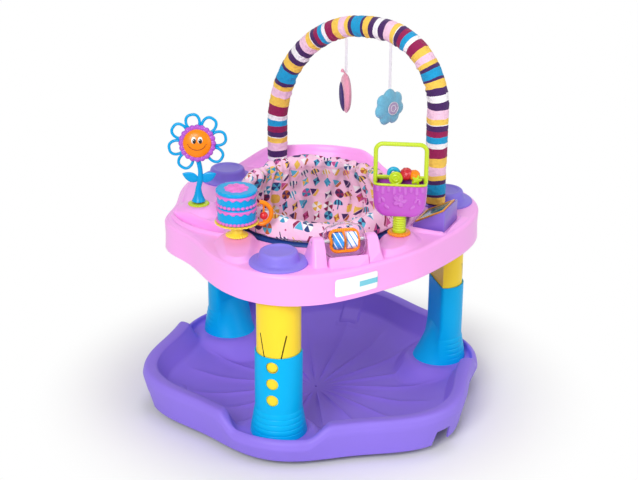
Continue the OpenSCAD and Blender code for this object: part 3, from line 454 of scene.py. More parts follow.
def sleeve_ring(z):
    """Radii of the sleeve at a height."""
    u, slope = (z - SLEEVE_FOOT) / FLARE_HIGH, min(1, (z - SLEEVE_FOOT) / SLOPE_HIGH)
    flare = FLARE_R + (SLEEVE_R - FLARE_R) * min(1, u)
    ridge = 0.9 * abs(math.sin(math.pi * u * 5)) ** 0.5 if 0 < u < 1 else 0
    ring = []
    for turn, r in zip(D_TURNS, d_ring(0)):
        ridged = flare + ridge * (1 - ease(75, 110, abs(off_step(turn, 360))))
        ring.append(min(ridged, FLARE_R + (r - FLARE_R) * slope))
    return ring


def at_leg(piece, turn):
    """Move a piece made on the leg's axis to its leg."""
    out = Matrix.Translation((LEG_REACH * MM, 0, 0))
    piece.data.transform(Matrix.Rotation(math.radians(turn), 4, "Z") @ out)
    piece.data.update()
    return piece


sleeve_heights = [SLEEVE_FOOT, 50.8] + list(range(52, 154)) + [158, 175, 195, 215, 225.4, 227.2]
sleeve_levels = [(z, sleeve_ring(z)) for z in sleeve_heights]
sleeve_levels.append((SLEEVE_TOP, [r - 0.9 for r in sleeve_levels[-1][1]]))
sleeve_bore = d_ring(SLEEVE_WALL)
sleeve_levels.append((SLEEVE_TOP, [r + 0.8 for r in sleeve_bore]))
sleeve_levels += [(z, sleeve_bore) for z in (SLEEVE_TOP - 0.8, 120, SLEEVE_FOOT)]
sleeve_points = [polar(r, turn, z) for z, radii in sleeve_levels for turn, r in zip(D_TURNS, radii)]
sleeve_faces = strip_faces(len(sleeve_levels), len(D_TURNS), True, True)
for leg, turn in LEGS.items():
    sleeve = face_out(as_piece(f"leg_sleeve_{leg}", sleeve_points, sleeve_faces, sleeve_cyan))
    bore(sleeve, [((50, 0, BUTTON_Z - HOLE_STEP * k), (1, 0, 0), HOLE_R, 30) for k in range(3)])
    smooth_but_edges(at_leg(sleeve, turn), 38)
    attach(sleeve, "base")
    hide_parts(f"lower_sleeve_{leg}")

# Upper leg tubes. Yellow tubes of the same D section that slide in the sleeves; two slits that lean
# together free a springy tongue, and the tongue carries the round height button.
tube_yellow, slit_yellow = [plastic(name, linear(255, 220, 44), gloss=0.34, cloud=0.06, grain=800)
                            for name in ("tube_yellow", "slit_yellow")]
refinish(slit_yellow, "upper_tube_front", "upper_tube_right", "upper_tube_rear")
SLIT_FOOT, SLIT_MIDDLE, SLIT_REACH = 0.226, 0.25, 0.0255
SLIT_LEAN, SLIT_OUT, SLIT_HALF, TUBE_OUTSIDE = 0.194, 0.017, 0.0012, 0.3


def axes(tree, place):
    """X, Y and Z of a place."""
    return [Reading(tree, part) for part in add_node(tree, "ShaderNodeSeparateXYZ", {0: place}).outputs]


def turned_place(tree, place, angle):
    """A place turned round the upright axis; the angle is in radians."""
    return add_node(tree, "ShaderNodeVectorRotate", {"Vector": place, "Angle": angle},
                    rotation_type="Z_AXIS").outputs[0]


def tint(finish, share, colour):
    """Lay a colour over a finish where a mask says."""
    tree = finish.node_tree
    shader = tree.nodes["Principled BSDF"]
    plain = shader.inputs["Base Color"].links[0].from_socket
    fill_in(tree, shader, {"Base Color": blend_colour(tree, share, plain, colour)})


# Painted shade: the tubes are painted dark brown along the two slits, in place of the shade inside the cuts.
slit_tree = slit_yellow.node_tree
slit_place = object_place(slit_tree)
slit_shadow = 0.0
for turn in LEGS.values():
    x, y, z = axes(slit_tree, turned_place(slit_tree, slit_place, math.radians(-turn)))
    lean = abs(y) - (z - SLIT_FOOT) * SLIT_LEAN
    slit = (abs(lean - SLIT_OUT) < SLIT_HALF) * (abs(z - SLIT_MIDDLE) < SLIT_REACH) * (x > TUBE_OUTSIDE)
    slit_shadow = slit.sums("MAXIMUM", slit_shadow)
tint(slit_yellow, slit_shadow, linear(64, 48, 16))


def lathe(name, profile, finish, steps):
    """Turned piece from (radius, height) points, closed at the axis or as a ring."""
    points = [polar(r, 360 * j / steps, z) for r, z in profile for j in range(steps)]
    return face_out(as_piece(name, points, strip_faces(len(profile), steps, profile[0][0] > 0, True), finish))


def stand(piece, place, turn=(0, 0, 0)):
    """Turn a piece (degrees) and put it at a place (millimetres), in its mesh."""
    spin = Euler([math.radians(t) for t in turn]).to_matrix().to_4x4()
    piece.data.transform(Matrix.Translation(Vector(place) * MM) @ spin)
    piece.data.update()
    return piece


BUTTON_PROFILE = [(0, 46), (6, 45.7), (9.4, 44.8), (11.3, 43.2), (12, 41.2), (12, 38.6), (13.9, 38.2),
                  (13.9, 36), (0, 36)]
for leg, turn in LEGS.items():
    button = lathe(f"push_button_{leg}", BUTTON_PROFILE, tube_yellow, 64)
    stand(button, (0, 0, BUTTON_Z), (0, 90, 0))
    smooth_but_edges(at_leg(button, turn), 50)
    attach(button, f"button_{leg}")
    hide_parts(f"height_button_{leg}")

# Bounce springs. A coil of plated wire stands on each tube's end plate and carries the cap above it;
# the real coils close up as the tray goes down, but here they are built at one length.
COIL_R, WIRE_R, COIL_FOOT, COIL_RISE, COIL_TURNS, COIL_STEPS = 24, 1.8, 396, 35.8, 4, 160


def capped_faces(rows, columns):
    """Faces of a stack of rings, with both ends closed."""
    last = rows * columns
    ends = [tuple(range(columns)), tuple(range(last - 1, last - columns - 1, -1))]
    return strip_faces(rows, columns, False, True) + ends


def tube_along(name, path, radius, finish, sides, closed=False):
    """Round rod along a path in millimetres; radius is a number or one for each point."""
    n = len(path)
    radii = radius if isinstance(radius, list) else [radius] * n
    spine = [Vector(p) for p in path]
    line = [spine[-1], *spine, spine[0]] if closed else [spine[0], *spine, spine[-1]]
    ways = [(after - before).normalized() for before, after in zip(line, line[2:])]
    beside = ways[0].orthogonal().normalized()
    points = []
    for p, way, r in zip(spine, ways, radii):
        beside = (beside - way * beside.dot(way)).normalized()
        over = way.cross(beside)
        rim = [polar(r, 360 * j / sides) for j in range(sides)]
        points += [tuple(p + beside * u + over * v) for u, v, _ in rim]
    faces = strip_faces(n, sides, True, True) if closed else capped_faces(n, sides)
    return face_out(as_piece(name, points, faces, finish))


def joined(name, *pieces):
    """Several parts of one moulding as one piece."""
    work = bmesh.new()
    finishes = []
    for piece in pieces:
        own = list(piece.data.materials)
        finishes += [finish for finish in own if finish not in finishes]
        start = len(work.faces)
        work.from_mesh(piece.data)
        work.faces.ensure_lookup_table()
        for face in work.faces[start:]:
            face.material_index = finishes.index(own[min(face.material_index, len(own) - 1)])
    mesh = bpy.data.meshes.new(name)
    work.to_mesh(mesh)
    work.free()
    for finish in finishes:
        mesh.materials.append(finish)
    for piece in pieces:
        old = piece.data
        bpy.data.objects.remove(piece)
        bpy.data.meshes.remove(old)
    piece = bpy.data.objects.new(name, mesh)
    bpy.context.collection.objects.link(piece)
    return piece


coil_path = [polar(COIL_R, 360 * COIL_TURNS * k / COIL_STEPS, COIL_FOOT + COIL_RISE * k / COIL_STEPS)
             for k in range(COIL_STEPS + 1)]
coils = [at_leg(tube_along(f"coil_{leg}", coil_path, WIRE_R, plated_steel, 14), turn)
         for leg, turn in LEGS.items()]
bounce_coils = smooth_but_edges(joined("bounce_coils", *coils), 50)
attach(bounce_coils, "upper_legs")
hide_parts("bounce_springs")
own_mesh(bounce_coils)

# Leg caps and guides. Purple caps with a wide flange over the bounce springs, a low round dome and a
# dished top; the guides are cups in the tray that run on the tubes and keep their solids.
cap_purple = plastic("cap_purple", linear(138, 122, 226), gloss=0.4, cloud=0.06, grain=900)
refinish(cap_purple, "leg_guides", "arch_sockets")
CAP_PROFILE = [
    (0, 435.2), (24, 435.2), (26, 435.6), (27.5, 436.8), (29, 437.7), (31.5, 438), (34, 437.5), (36, 436),
    (37.2, 433.6), (38.2, 429), (39.6, 421), (40.8, 418.4), (43, 417.3), (47, 416.8), (54, 416.4),
    (56.2, 415.6), (57.3, 414.2), (57.5, 412.6), (57.3, 412), (55.6, 412), (55.4, 414.2), (38, 414.2),
    (35, 432.5), (33, 434), (0, 434)]
for leg, turn in LEGS.items():
    cap = lathe(f"spring_cap_{leg}", CAP_PROFILE, cap_purple, 128)
    smooth_but_edges(at_leg(cap, turn), 60)
    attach(cap, "tray")
    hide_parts(f"leg_cap_{leg}")

# Toy tray. A pink injection-moulded ring with a lobe over each leg, a raised collar behind the seat,
# soft mounds under the toys, a leaf-shaped dish on the left and a ledge that carries the seat.
tray_pink = plastic("tray_pink", linear(253, 172, 242), gloss=0.34, cloud=0.05, grain=900, coat=0.15)
TRAY_TOP, TRAY_FOOT, LEDGE_FOOT, SEAT_LIP = 412, 350, 386, 190
TRAY_REACH, TRAY_LOBE, TRAY_STEPS = 285, 60, 720
COLLAR_TURN, COLLAR_HIGH, EDGE_R = 75, 40, 7
FLOWER_AT, CAKE_AT, BASKET_AT, ROLLER_AT = (-237, 66), (-197, -128), (118, -189), (-13, -254)
CAKE_SPUR, BASKET_SPUR = (-212, -200), (88, -238)
LEAF_AT, LEAF_TURN, LEAF_LONG, LEAF_WIDE, LEAF_DEEP = (-252, -20), 31, 78, 20, 14
WEDGE_AT, WEDGE_TURN, WEDGE_HALF = (217, -119), -38, (36, 43)
ARCH_LEFT, ARCH_RIGHT = (-18, 281), (236, -58)


def swell(turn, mid, width):
    """Smooth bulge round a turn."""
    return math.exp(-(off_step(turn - mid, 360) / width) ** 2)


def tray_reach(turn):
    """Reach of the tray's edge: a lobe at each leg, fuller on the left and behind the seat."""
    lobe = TRAY_LOBE * math.cos(math.radians(1.5 * off_step(turn, 120))) ** 3
    return TRAY_REACH + lobe + 31 * swell(turn, 175, 14) + 34 * swell(turn, 72, 24)


def collar_height(turn):
    """Rise of the edge behind the seat."""
    return COLLAR_HIGH * (1 - ease(18, 36, abs(off_step(turn - COLLAR_TURN, 360))))


def to_line(x, y, ax, ay, bx, by):
    """Distance to a line from a to b, and the share of the way along it."""
    dx, dy = bx - ax, by - ay
    t = min(1, max(0, ((x - ax) * dx + (y - ay) * dy) / (dx * dx + dy * dy)))
    return math.hypot(x - ax - t * dx, y - ay - t * dy), t


def seen_from(x, y, place, turn):
    """A point of the tray as seen from a place that is turned, in degrees."""
    c, s = math.cos(math.radians(turn)), math.sin(math.radians(turn))
    dx, dy = x - place[0], y - place[1]
    return dx * c + dy * s, dy * c - dx * s


def tray_relief(x, y):
    """Height of the mounds and dishes above the tray's flat top."""
    z = 14 * (1 - ease(27, 56, math.hypot(x - FLOWER_AT[0], y - FLOWER_AT[1])))
    d, t = to_line(x, y, *CAKE_AT, *CAKE_SPUR)
    z = max(z, (16 - 7 * t) * (1 - ease(27 - 8 * t, 48 - 14 * t, d)))
    d, t = to_line(x, y, *BASKET_AT, *BASKET_SPUR)
    z = max(z, (15 - 4 * t) * (1 - ease(25 - 5 * t, 46 - 8 * t, d)))
    out, along = seen_from(x, y, LEAF_AT, LEAF_TURN)
    edge = LEAF_WIDE * (1 - (along / LEAF_LONG) ** 2)
    if edge > -6:
        z += 7 * math.exp(-((abs(out) - edge - 3) / 2.9) ** 2) * ease(-6, 2, edge)
        z -= LEAF_DEEP * ease(0, 4.5, edge - abs(out))
    u, v = seen_from(x, y, WEDGE_AT, WEDGE_TURN)
    border = max(abs(u) - WEDGE_HALF[0], abs(v) - WEDGE_HALF[1])
    return z + 4.5 * ease(1.5, 4.5, border) * (1 - ease(7, 20, border))


def tray_section(turn):
    """The ledge, the top with its relief, the edge turned over, the outer wall and the underside."""
    r, h = tray_reach(turn), collar_height(turn)
    shoulder = TRAY_TOP + h - EDGE_R
    lip = [(-14, LEDGE_FOOT), (-14, 388.5), (-12.5, 390), (-1, 390), (0, 391), (0, 402), (0.7, 406),
           (2.6, 409.4), (5.4, 411.4), (9, TRAY_TOP)]
    lip = [(SEAT_LIP + out, z) for out, z in lip]
    start, stop = SEAT_LIP + 9, r - 24

    def bead(d):
        return 4.5 * swell(turn, 158, 26) * math.exp(-((d - r + 13) / 5) ** 2)

    def relief(d):
        return tray_relief(*polar(d, turn)[:2])

    top = []
    for d in (start + (stop - start) * k / 60 for k in range(1, 61)):
        top.append((d, TRAY_TOP + relief(d) * ease(0, 8, d - start) + bead(d)))
    edge = []
    for share in (k / 16 for k in range(1, 17)):
        d = stop + 17 * share
        flat = relief(d) * (1 - ease(0.3, 1, share)) + bead(d) * (1 - ease(0.75, 1, share))
        edge.append((d, TRAY_TOP + h * ease(0, 1, share) + flat))
    turnover = [(r - EDGE_R + EDGE_R * math.sin(b), shoulder + EDGE_R * math.cos(b))
                for b in (math.radians(9 * k) for k in range(1, 11))]
    wall = [(r - 1.2 * math.sin(math.pi * share), shoulder + (TRAY_FOOT + 2 - shoulder) * share)
            for share in (k / 8 for k in range(1, 9))]
    foot = [(r - 0.6, TRAY_FOOT + 0.5), (r - 2, TRAY_FOOT), (r - 3.5, TRAY_FOOT + 0.6),
            (r - 4, TRAY_FOOT + 2)]
    floor = TRAY_TOP - 4 - 13 * swell(turn, 185, 22)
    back = [(r - 4.4, TRAY_TOP + h - 12), (r - 9, TRAY_TOP + h - 4.6), (r - 15, TRAY_TOP + 0.7 * h - 4.6),
            (stop - 3, floor), (start + 2, floor), (SEAT_LIP + 4, floor - 6), (SEAT_LIP + 4, LEDGE_FOOT)]
    return lip + top + edge + turnover + wall + foot + back


tray_shell = swept_round("tray_shell", tray_section, TRAY_STEPS, tray_pink)
leg_holes = [(polar(LEG_REACH, turn, 410), (0, 0, 1), 51.3, 60) for turn in LEGS.values()]
arch_holes = [((*place, 410), (0, 0, 1), 11.05, depth)
              for place, depth in ((ARCH_LEFT, 90), (ARCH_RIGHT, 60))]
bore(tray_shell, leg_holes + arch_holes)
smooth_but_edges(tray_shell, 45)
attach(tray_shell, "tray")
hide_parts("tray")

# Roller cradle. Two rounded ears grow out of the tray's front and a trough between them follows the
# roller; they are moulded with the tray in the same pink.
AXLE_Z, AXLE_HOLE, TROUGH_R = 450, 4.05, 38
CRADLE_FOOT, CRADLE_FLOOR, EAR_HIGH = 404, 405, 55


def cradle_height(x, y):
    """Top of the cradle: the trough under the roller, or an ear beside it."""
    dx, dy = abs(x - ROLLER_AT[0]), y - ROLLER_AT[1]
    trough = AXLE_Z - math.sqrt(TROUGH_R ** 2 - dy * dy) if abs(dy) < 33 else 431 - 20 * ease(33, 46, abs(dy))
    trough = CRADLE_FLOOR + (trough - CRADLE_FLOOR) * (1 - ease(38, 41, dx))
    side_fall = ease(38.2, 43, dx) * (1 - ease(62, 78, dx))
    ear = CRADLE_FLOOR + EAR_HIGH * math.exp(-(abs(dy) / (29 if dy < 0 else 33)) ** 3) * side_fall
    return max(trough, ear)


def inside_tray(x, y):
    """The place itself, or the nearest one that the tray's rounded edge still covers."""
    share = min(1, (tray_reach(math.degrees(math.atan2(y, x))) - EDGE_R) / math.hypot(x, y))
    return x * share, y * share


def slab_faces(rows, columns):
    """Faces of two sheets of points, one after the other, with a wall round their edge."""
    size = rows * columns
    sheet = strip_faces(rows, columns)
    edge = list(range(columns)) + [i * columns + columns - 1 for i in range(1, rows)]
    edge += [size - 1 - j for j in range(1, columns)] + [i * columns for i in range(rows - 2, 0, -1)]
    wall = [(a, b, b + size, a + size) for a, b in zip(edge, edge[1:] + edge[:1])]
    return sheet + [tuple(i + size for i in face[::-1]) for face in sheet] + wall


cradle_x = [4 * k for k in range(10)] + [37 + 0.4 * k for k in range(15)] + [44 + k for k in range(14)]
cradle_x += [58 + 2 * k for k in range(11)]
cradle_x = sorted({ROLLER_AT[0] + s * x for x in cradle_x for s in (-1, 1)})
cradle_y = [-304 + k * 1.25 for k in range(81)]
cradle_plan = [inside_tray(x, y) for x in cradle_x for y in cradle_y]
cradle_points = [(x, y, cradle_height(x, y)) for x, y in cradle_plan]
cradle_points += [(x, y, CRADLE_FOOT) for x, y in cradle_plan]
cradle_faces = slab_faces(len(cradle_x), len(cradle_y))
roller_cradle = face_out(as_piece("roller_cradle", cradle_points, cradle_faces, tray_pink))
bore(roller_cradle, [((*ROLLER_AT, AXLE_Z), (1, 0, 0), AXLE_HOLE, 200)])
smooth_but_edges(roller_cradle, 60)
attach(roller_cradle, "tray")

# Label plate. A thin white film label with rounded corners on the tray's front wall; it is left
# without print but for a plain light blue band.
LABEL_MIDDLE, LABEL_HALF_LONG, LABEL_HALF_HIGH = 379.5, 46, 18
LABEL_COLUMNS, LABEL_ROWS = 49, 13
BAND_START, BAND_Z, BAND_HALF = 0.004, 0.379, 0.0055
label_film, film, film_shader = bare_finish("label_film")
film_place = object_place(film)
film_x, _, film_z = axes(film, film_place)
film_band = (film_x > BAND_START) * (abs(film_z - BAND_Z) < BAND_HALF)
film_cloud = mottle(film, film_place, 220)
film_white = blend_colour(film, film_cloud, linear(246, 247, 250), linear(252, 252, 252))
fill_in(film, film_shader, {"Base Color": blend_colour(film, film_band, film_white, linear(120, 205, 225)),
                            "Roughness": film_cloud * 0.1 + 0.2})
label_points = []
for gap, edge_drop in ((0.3, 0), (1.5, 0.5)):
    for u in (-1 + 2 * i / (LABEL_COLUMNS - 1) for i in range(LABEL_COLUMNS)):
        turn = -90 + math.degrees(LABEL_HALF_LONG / 306 * u)
        r = tray_reach(turn) + gap - edge_drop * abs(u) ** 24
        half = LABEL_HALF_HIGH - 4 * max(0, (abs(u) - 0.91) / 0.09) ** 2.2
        label_points += [polar(r, turn, LABEL_MIDDLE + half * (-1 + j / 6)) for j in range(LABEL_ROWS)]
label_faces = slab_faces(LABEL_COLUMNS, LABEL_ROWS)
front_label = smooth_but_edges(face_out(as_piece("front_label", label_points, label_faces, label_film)), 40)
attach(front_label, "tray")
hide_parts("label_plate")

# Swivel ring. A navy ring that turns on the tray's ledge on white glides and carries the cloth seat;
# the glides keep their solids.
ring_navy = plastic("ring_navy", linear(24, 66, 140), gloss=0.38, cloud=0.08, grain=900)
glide_white = plastic("glide_white", linear(238, 238, 236), gloss=0.42, cloud=0.04, grain=1200)
refinish(glide_white, "seat_glides", "arch_tube")
RING_PROFILE = [(170, 392.4), (170.5, 391.9), (184.3, 391.9), (185, 392.6), (185, 405), (184.4, 409),
                (182.6, 411.8), (180, 412.9), (173, 412.9), (170.6, 412), (170, 410)]
swivel_ring = smooth_but_edges(lathe("swivel_ring", RING_PROFILE, ring_navy, 180), 50)
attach(swivel_ring, "seat")
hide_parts("seat_ring")

# Seat. A bucket of quilted printed polyester, sewn with a fat padded roll round its edge and two leg
# holes in front; the cloth is gathered at the back and hangs from the swivel ring.
SEAT_BACK, SEAT_FRONT_TOP, SEAT_BACK_RISE, SEAT_STEPS = 85, 451, 40, 180
LEG_HOLE_OFF, LEG_HOLE_REACH, LEG_HOLE_Z, LEG_HOLE_R = 142, 120, 322, 50
SEAT_PRESSURE, SEAT_SWELL, SEAT_VOXEL = 3.5, 6, 0.006
ROLL_R, ROLL_DROP = 14, 17


def seat_height(turn):
    """Top of the roll, highest at the back."""
    return SEAT_FRONT_TOP + SEAT_BACK_RISE * (0.5 + 0.5 * math.cos(math.radians(turn - SEAT_BACK))) ** 0.62


def seat_section(turn):
    """Outside from the bottom up, over the roll and down the inside."""
    h = seat_height(turn) - 3
    outer, well = 185 - 0.44 * (h - 421), 153 - 0.27 * (h - 409)
    return [(0.01, 254), (60, 254), (94, 255), (124, 290), (150, 335), (165.5, 372), (166.5, 400), (168, 415),
            (172, 417), (182, 417), (184, 421), (outer + 0.44 * 14 - 0.5, h - 14), (outer - 3, h - 5),
            (outer - 9, h), (well + 9, h), (well + 2, h - 6), (well + 0.27 * 16, h - 16), (154, 420),
            (157, 390), (155, 368), (141, 332), (114, 287), (90, 263), (60, 260), (0.01, 260)]


# Woven cloth: threads over and under in both directions, with a soft unevenness in the yarn.
woven_cloth, weave_in, weave_out = node_group(
    "woven_cloth", "ShaderNodeTree", {"Vector": "Vector", "Threads": "Float"},
    {"Height": "Float", "Shade": "Float"})
weave_x, weave_y, _ = axes(woven_cloth, weave_in["Vector"])
weave_turns = Reading(woven_cloth, weave_in["Threads"]) * math.tau
weave_crossing = (weave_x * weave_turns).sums("SINE") * (weave_y * weave_turns).sums("SINE")
weave_slub = mottle(woven_cloth, weave_in["Vector"], 180, detail=3)
fill_in(woven_cloth, weave_out, {"Height": weave_crossing * 0.25 + weave_slub,
                                 "Shade": weave_slub * 0.16 + 0.92})


def cloth(name, colour_of, cut=None, threads=1400, depth=0.0002, rough=0.82, sheen=0.25, wrinkle=0.0):
    """Woven cloth; colour_of(tree, place) gives its colour, and cut is the UV map it was cut by, if any."""
    finish, tree, shader = bare_finish(name)
    place = add_node(tree, "ShaderNodeUVMap", uv_map=cut).outputs["UV"] if cut else object_place(tree)
    weave = add_node(tree, "ShaderNodeGroup", {"Vector": place, "Threads": threads},
                     node_tree=woven_cloth).outputs
    bump = add_node(tree, "ShaderNodeBump", {"Strength": 0.6, "Distance": depth, "Height": weave["Height"]})
    if wrinkle:
        folds = add_node(tree, "ShaderNodeBump", {"Strength": 1.0, "Distance": wrinkle,
                                                  "Height": mottle(tree, place, 85, detail=3)})
        fill_in(tree, bump, {"Normal": folds.outputs[0]})
    fill_in(tree, shader, {"Base Color": scaled(tree, colour_of(tree, place), weave["Shade"]),
                           "Normal": bump.outputs[0], "Roughness": rough,
                           "Sheen Weight": sheen, "Sheen Roughness": 0.5})
    return finish


def bands(tree, share, dyes):
    """Colours that change at once: each dye is (where it starts, colour), and share goes from 0 to 1."""
    ramp = add_node(tree, "ShaderNodeValToRGB", {0: share})
    ramp.color_ramp.interpolation = "CONSTANT"
    stops = ramp.color_ramp.elements
    for k, (start, colour) in enumerate(dyes):
        stop = stops[k] if k < 2 else stops.new(start)
        stop.position, stop.color = start, colour
    return ramp.outputs[0]


def one_of(tree, chance, *colours):
    """One of the colours, evenly, by a chance from 0 to 1."""
    return bands(tree, chance, [(k / len(colours), colour) for k, colour in enumerate(colours)])


PRINT_SCALE, MOTIF_SIZE, MOTIF_TURN, DOT_SCALE, DOT_R = 38.5, 0.0115, 2.6, 34, 0.06
PRINT_PINK, PRINT_DOT, PRINT_WHITE = linear(252, 204, 232), linear(176, 48, 120), linear(250, 246, 250)
PRINT_PLUM = linear(66, 32, 96)


def playtime_print(tree, place):
    """Scattered balls, kites, umbrellas and boats with small dots between, on pale pink, darkened as painted
    shade in the bottoms of the wall's folds.
    """
    scatter = add_node(tree, "ShaderNodeTexVoronoi",
                       {"Vector": place, "Scale": PRINT_SCALE, "Randomness": 0.42},
                       voronoi_dimensions="2D").outputs
    apart = add_node(tree, "ShaderNodeVectorMath", {0: place, 1: scatter["Position"]}, operation="SUBTRACT")
    draws = add_node(tree, "ShaderNodeSeparateColor", {0: scatter["Color"]}).outputs
    kind = Reading(tree, draws[0])
    motif = turned_place(tree, scaled(tree, apart.outputs[0], 1 / MOTIF_SIZE), (kind - 0.5) * MOTIF_TURN)
    x, y, _ = axes(tree, motif)
    wide, high = abs(x), abs(y)
    inside = (x * x + y * y).sums("SQRT") < 0.95
    first = one_of(tree, draws[2], linear(44, 154, 196), PRINT_PLUM, linear(146, 30, 84), linear(36, 62, 118),
                   linear(186, 98, 44), linear(238, 192, 74))
    second = one_of(tree, draws[1], PRINT_WHITE, linear(240, 200, 84), linear(205, 80, 150),
                    linear(80, 180, 212), PRINT_PLUM, PRINT_WHITE)
    gore = abs((y.sums("ARCTAN2", x) * (3 / math.tau)).sums("FRACT")) > 0.5
    rib = ((x + 4) * 1.6).sums("FRACT") > 0.5
    kite = wide * 1.5 + high < 1.1
    handle = (wide < 0.12) * (high < 0.9)
    umbrella = (inside * (y > -0.1)).sums("MAXIMUM", handle)
    hull = (abs(y + 0.5) < 0.24) * (wide - y * 0.6 < 1.1)
    sail = (y > -0.18) * (wide * 1.5 + y < 1.0)
    motifs = ((-1, 0.28, inside, gore), (0.28, 0.5, kite, x * y > 0), (0.5, 0.76, umbrella, rib),
              (0.76, 2, hull.sums("MAXIMUM", sail), sail))
    shape, tone = 0.0, 0.0
    for low, up_to, form, split in motifs:
        chosen = (kind > low) * (kind < up_to)
        shape = (chosen * form).sums("MAXIMUM", shape)
        tone = (chosen * split).sums("MAXIMUM", tone)
    dots = add_node(tree, "ShaderNodeTexVoronoi", {"Vector": place, "Scale": DOT_SCALE, "Randomness": 0.9},
                    voronoi_dimensions="2D")
    spot = Reading(tree, dots.outputs["Distance"]) < DOT_R
    ground = blend_colour(tree, spot, PRINT_PINK, PRINT_DOT)
    printed = blend_colour(tree, shape, ground, blend_colour(tree, tone, first, second))
    # Painted shade: the print is darkened by up to 30 percent where the attribute marks the bottom of a fold.
    fold_shade_reading = add_node(tree, "ShaderNodeAttribute", attribute_name="painted_fold_shade")
    return scaled(tree, printed, Reading(tree, fold_shade_reading.outputs["Fac"]) * -0.3 + 1.0)


printed_cloth = cloth("printed_cloth", playtime_print, "cut", threads=1100, depth=0.00025, sheen=0.1)


def plump(piece, pressure, limit, held, voxel):
    """Blow a padded piece up as sewn cloth, on even faces of a voxel's size. held(x, y, z) in mm says
    where it is sewn fast, and no point moves further than limit, in mm."""
    even = piece.modifiers.new("even", "REMESH")
    even.mode = "VOXEL"
    even.voxel_size = voxel
    keep_shape(piece)
    start = [v.co.copy() for v in piece.data.vertices]
    fast = piece.vertex_groups.new(name="sewn")
    fast.add([i for i, p in enumerate(start) if held(*(p / MM))], 1.0, "REPLACE")
    sewn = piece.modifiers.new("sewn_cloth", "CLOTH")
    sewn.settings.quality = 4
    sewn.settings.mass = 0.2
    sewn.settings.use_pressure = True
    sewn.settings.uniform_pressure_force = pressure
    sewn.settings.vertex_group_mass = "sewn"
    sewn.settings.effector_weights.gravity = 0
    sewn.settings.tension_stiffness = 12
    sewn.settings.compression_stiffness = 12
    sewn.settings.bending_stiffness = 0.6
    sewn.point_cache.frame_start = 1
    sewn.point_cache.frame_end = 20
    for step in range(1, 21):
        bpy.context.scene.frame_set(step)
    shown = piece.evaluated_get(bpy.context.evaluated_depsgraph_get()).data
    ends = [v.co.copy() for v in shown.vertices]
    piece.modifiers.clear()
    piece.vertex_groups.clear()
    bpy.context.scene.frame_set(1)
    for vertex, a, b in zip(piece.data.vertices, start, ends):
        move = b - a
        vertex.co = a + move * min(1.0, limit * MM / max(move.length, 1e-9))
    piece.data.update()
    return piece


def finer(piece):
    """Subdivide once more and keep the result."""
    smooth = piece.modifiers.new("finer", "SUBSURF")
    smooth.levels = smooth.render_levels = 1
    keep_shape(piece)
    piece.data.polygons.foreach_set("use_smooth", [True] * len(piece.data.polygons))
    return piece


def sewn_to_ring(x, y, z):
    """Where the seat is held: between the ring's lips, and at its bottom."""
    return 400 < z < 421 and math.hypot(x, y) > 164 or z < 262


seat_bucket = swept_round("seat_bucket", seat_section, SEAT_STEPS, printed_cloth)
bore(seat_bucket, [(polar(LEG_HOLE_REACH, turn, LEG_HOLE_Z), polar(1, turn), LEG_HOLE_R, 180)
                   for turn in (SEAT_BACK + LEG_HOLE_OFF, SEAT_BACK + 360 - LEG_HOLE_OFF)])
finer(plump(seat_bucket, SEAT_PRESSURE, SEAT_SWELL, sewn_to_ring, SEAT_VOXEL))


def seat_place(x, y):
    """Reach, degrees off the middle of the back and height of the roll there."""
    turn = math.degrees(math.atan2(y, x))
    return math.hypot(x, y), off_step(turn - SEAT_BACK, 360), seat_height(turn)


def seat_fold(back, z):
    """0 in the bottom of a fold of the wall, 1 between folds."""
    return min(1.0, 3.4 * abs(noise.noise((back / 15, z / 150, 3.0))))


def loose_cloth(back, z):
    """How freely the wall can fold: most at the back, nothing near the bottom."""
    return ease(300, 380, z) * (0.35 + 0.65 * (1 - ease(70, 130, abs(back))))


def seat_gathers(x, y, z):
    """Gathers down the back wall, a seam under the roll and a light pucker all over."""
    r, back, rim = seat_place(x, y)
    move = 1.2 * noise.noise((x / 26, y / 26, z / 18))
    if r > 100:
        wave = seat_fold(back, z) - 0.72 + 0.5 * noise.noise((back / 5, z / 120, 9.0))
        deep = 8.5 if r < 162 else 4 * ease(415, 419, z)
        move += deep * loose_cloth(back, z) * (1 - ease(rim - 10, rim, z)) * wave
    if r < 150:
        move -= 1.6 * math.exp(-((z - rim + 33) / 3.0) ** 2)
    return move


def fold_shade(x, y, z):
    """How deep in a fold a place on the inside of the wall is; the print is darkened there as painted shade.
    """
    r, back, rim = seat_place(x, y)
    if not 100 < r < 166:
        return 0.0
    return loose_cloth(back, z) * (1 - ease(rim - 24, rim - 8, z)) * (1 - ease(0, 0.5, seat_fold(back, z)))


seat_spots = [(v.co.copy(), v.normal.copy()) for v in seat_bucket.data.vertices]
seat_moved = [p + n * seat_gathers(*(p / MM)) * MM for p, n in seat_spots]
seat_bucket.data.vertices.foreach_set("co", [c for p in seat_moved for c in p])
seat_bucket.data.update()
# Painted shade: each point's depth in a fold, which darkens the print there.
painted_fold_shade = seat_bucket.data.attributes.new("painted_fold_shade", "FLOAT", "POINT")
painted_fold_shade.data.foreach_set("value", [fold_shade(*(v.co / MM)) for v in seat_bucket.data.vertices])


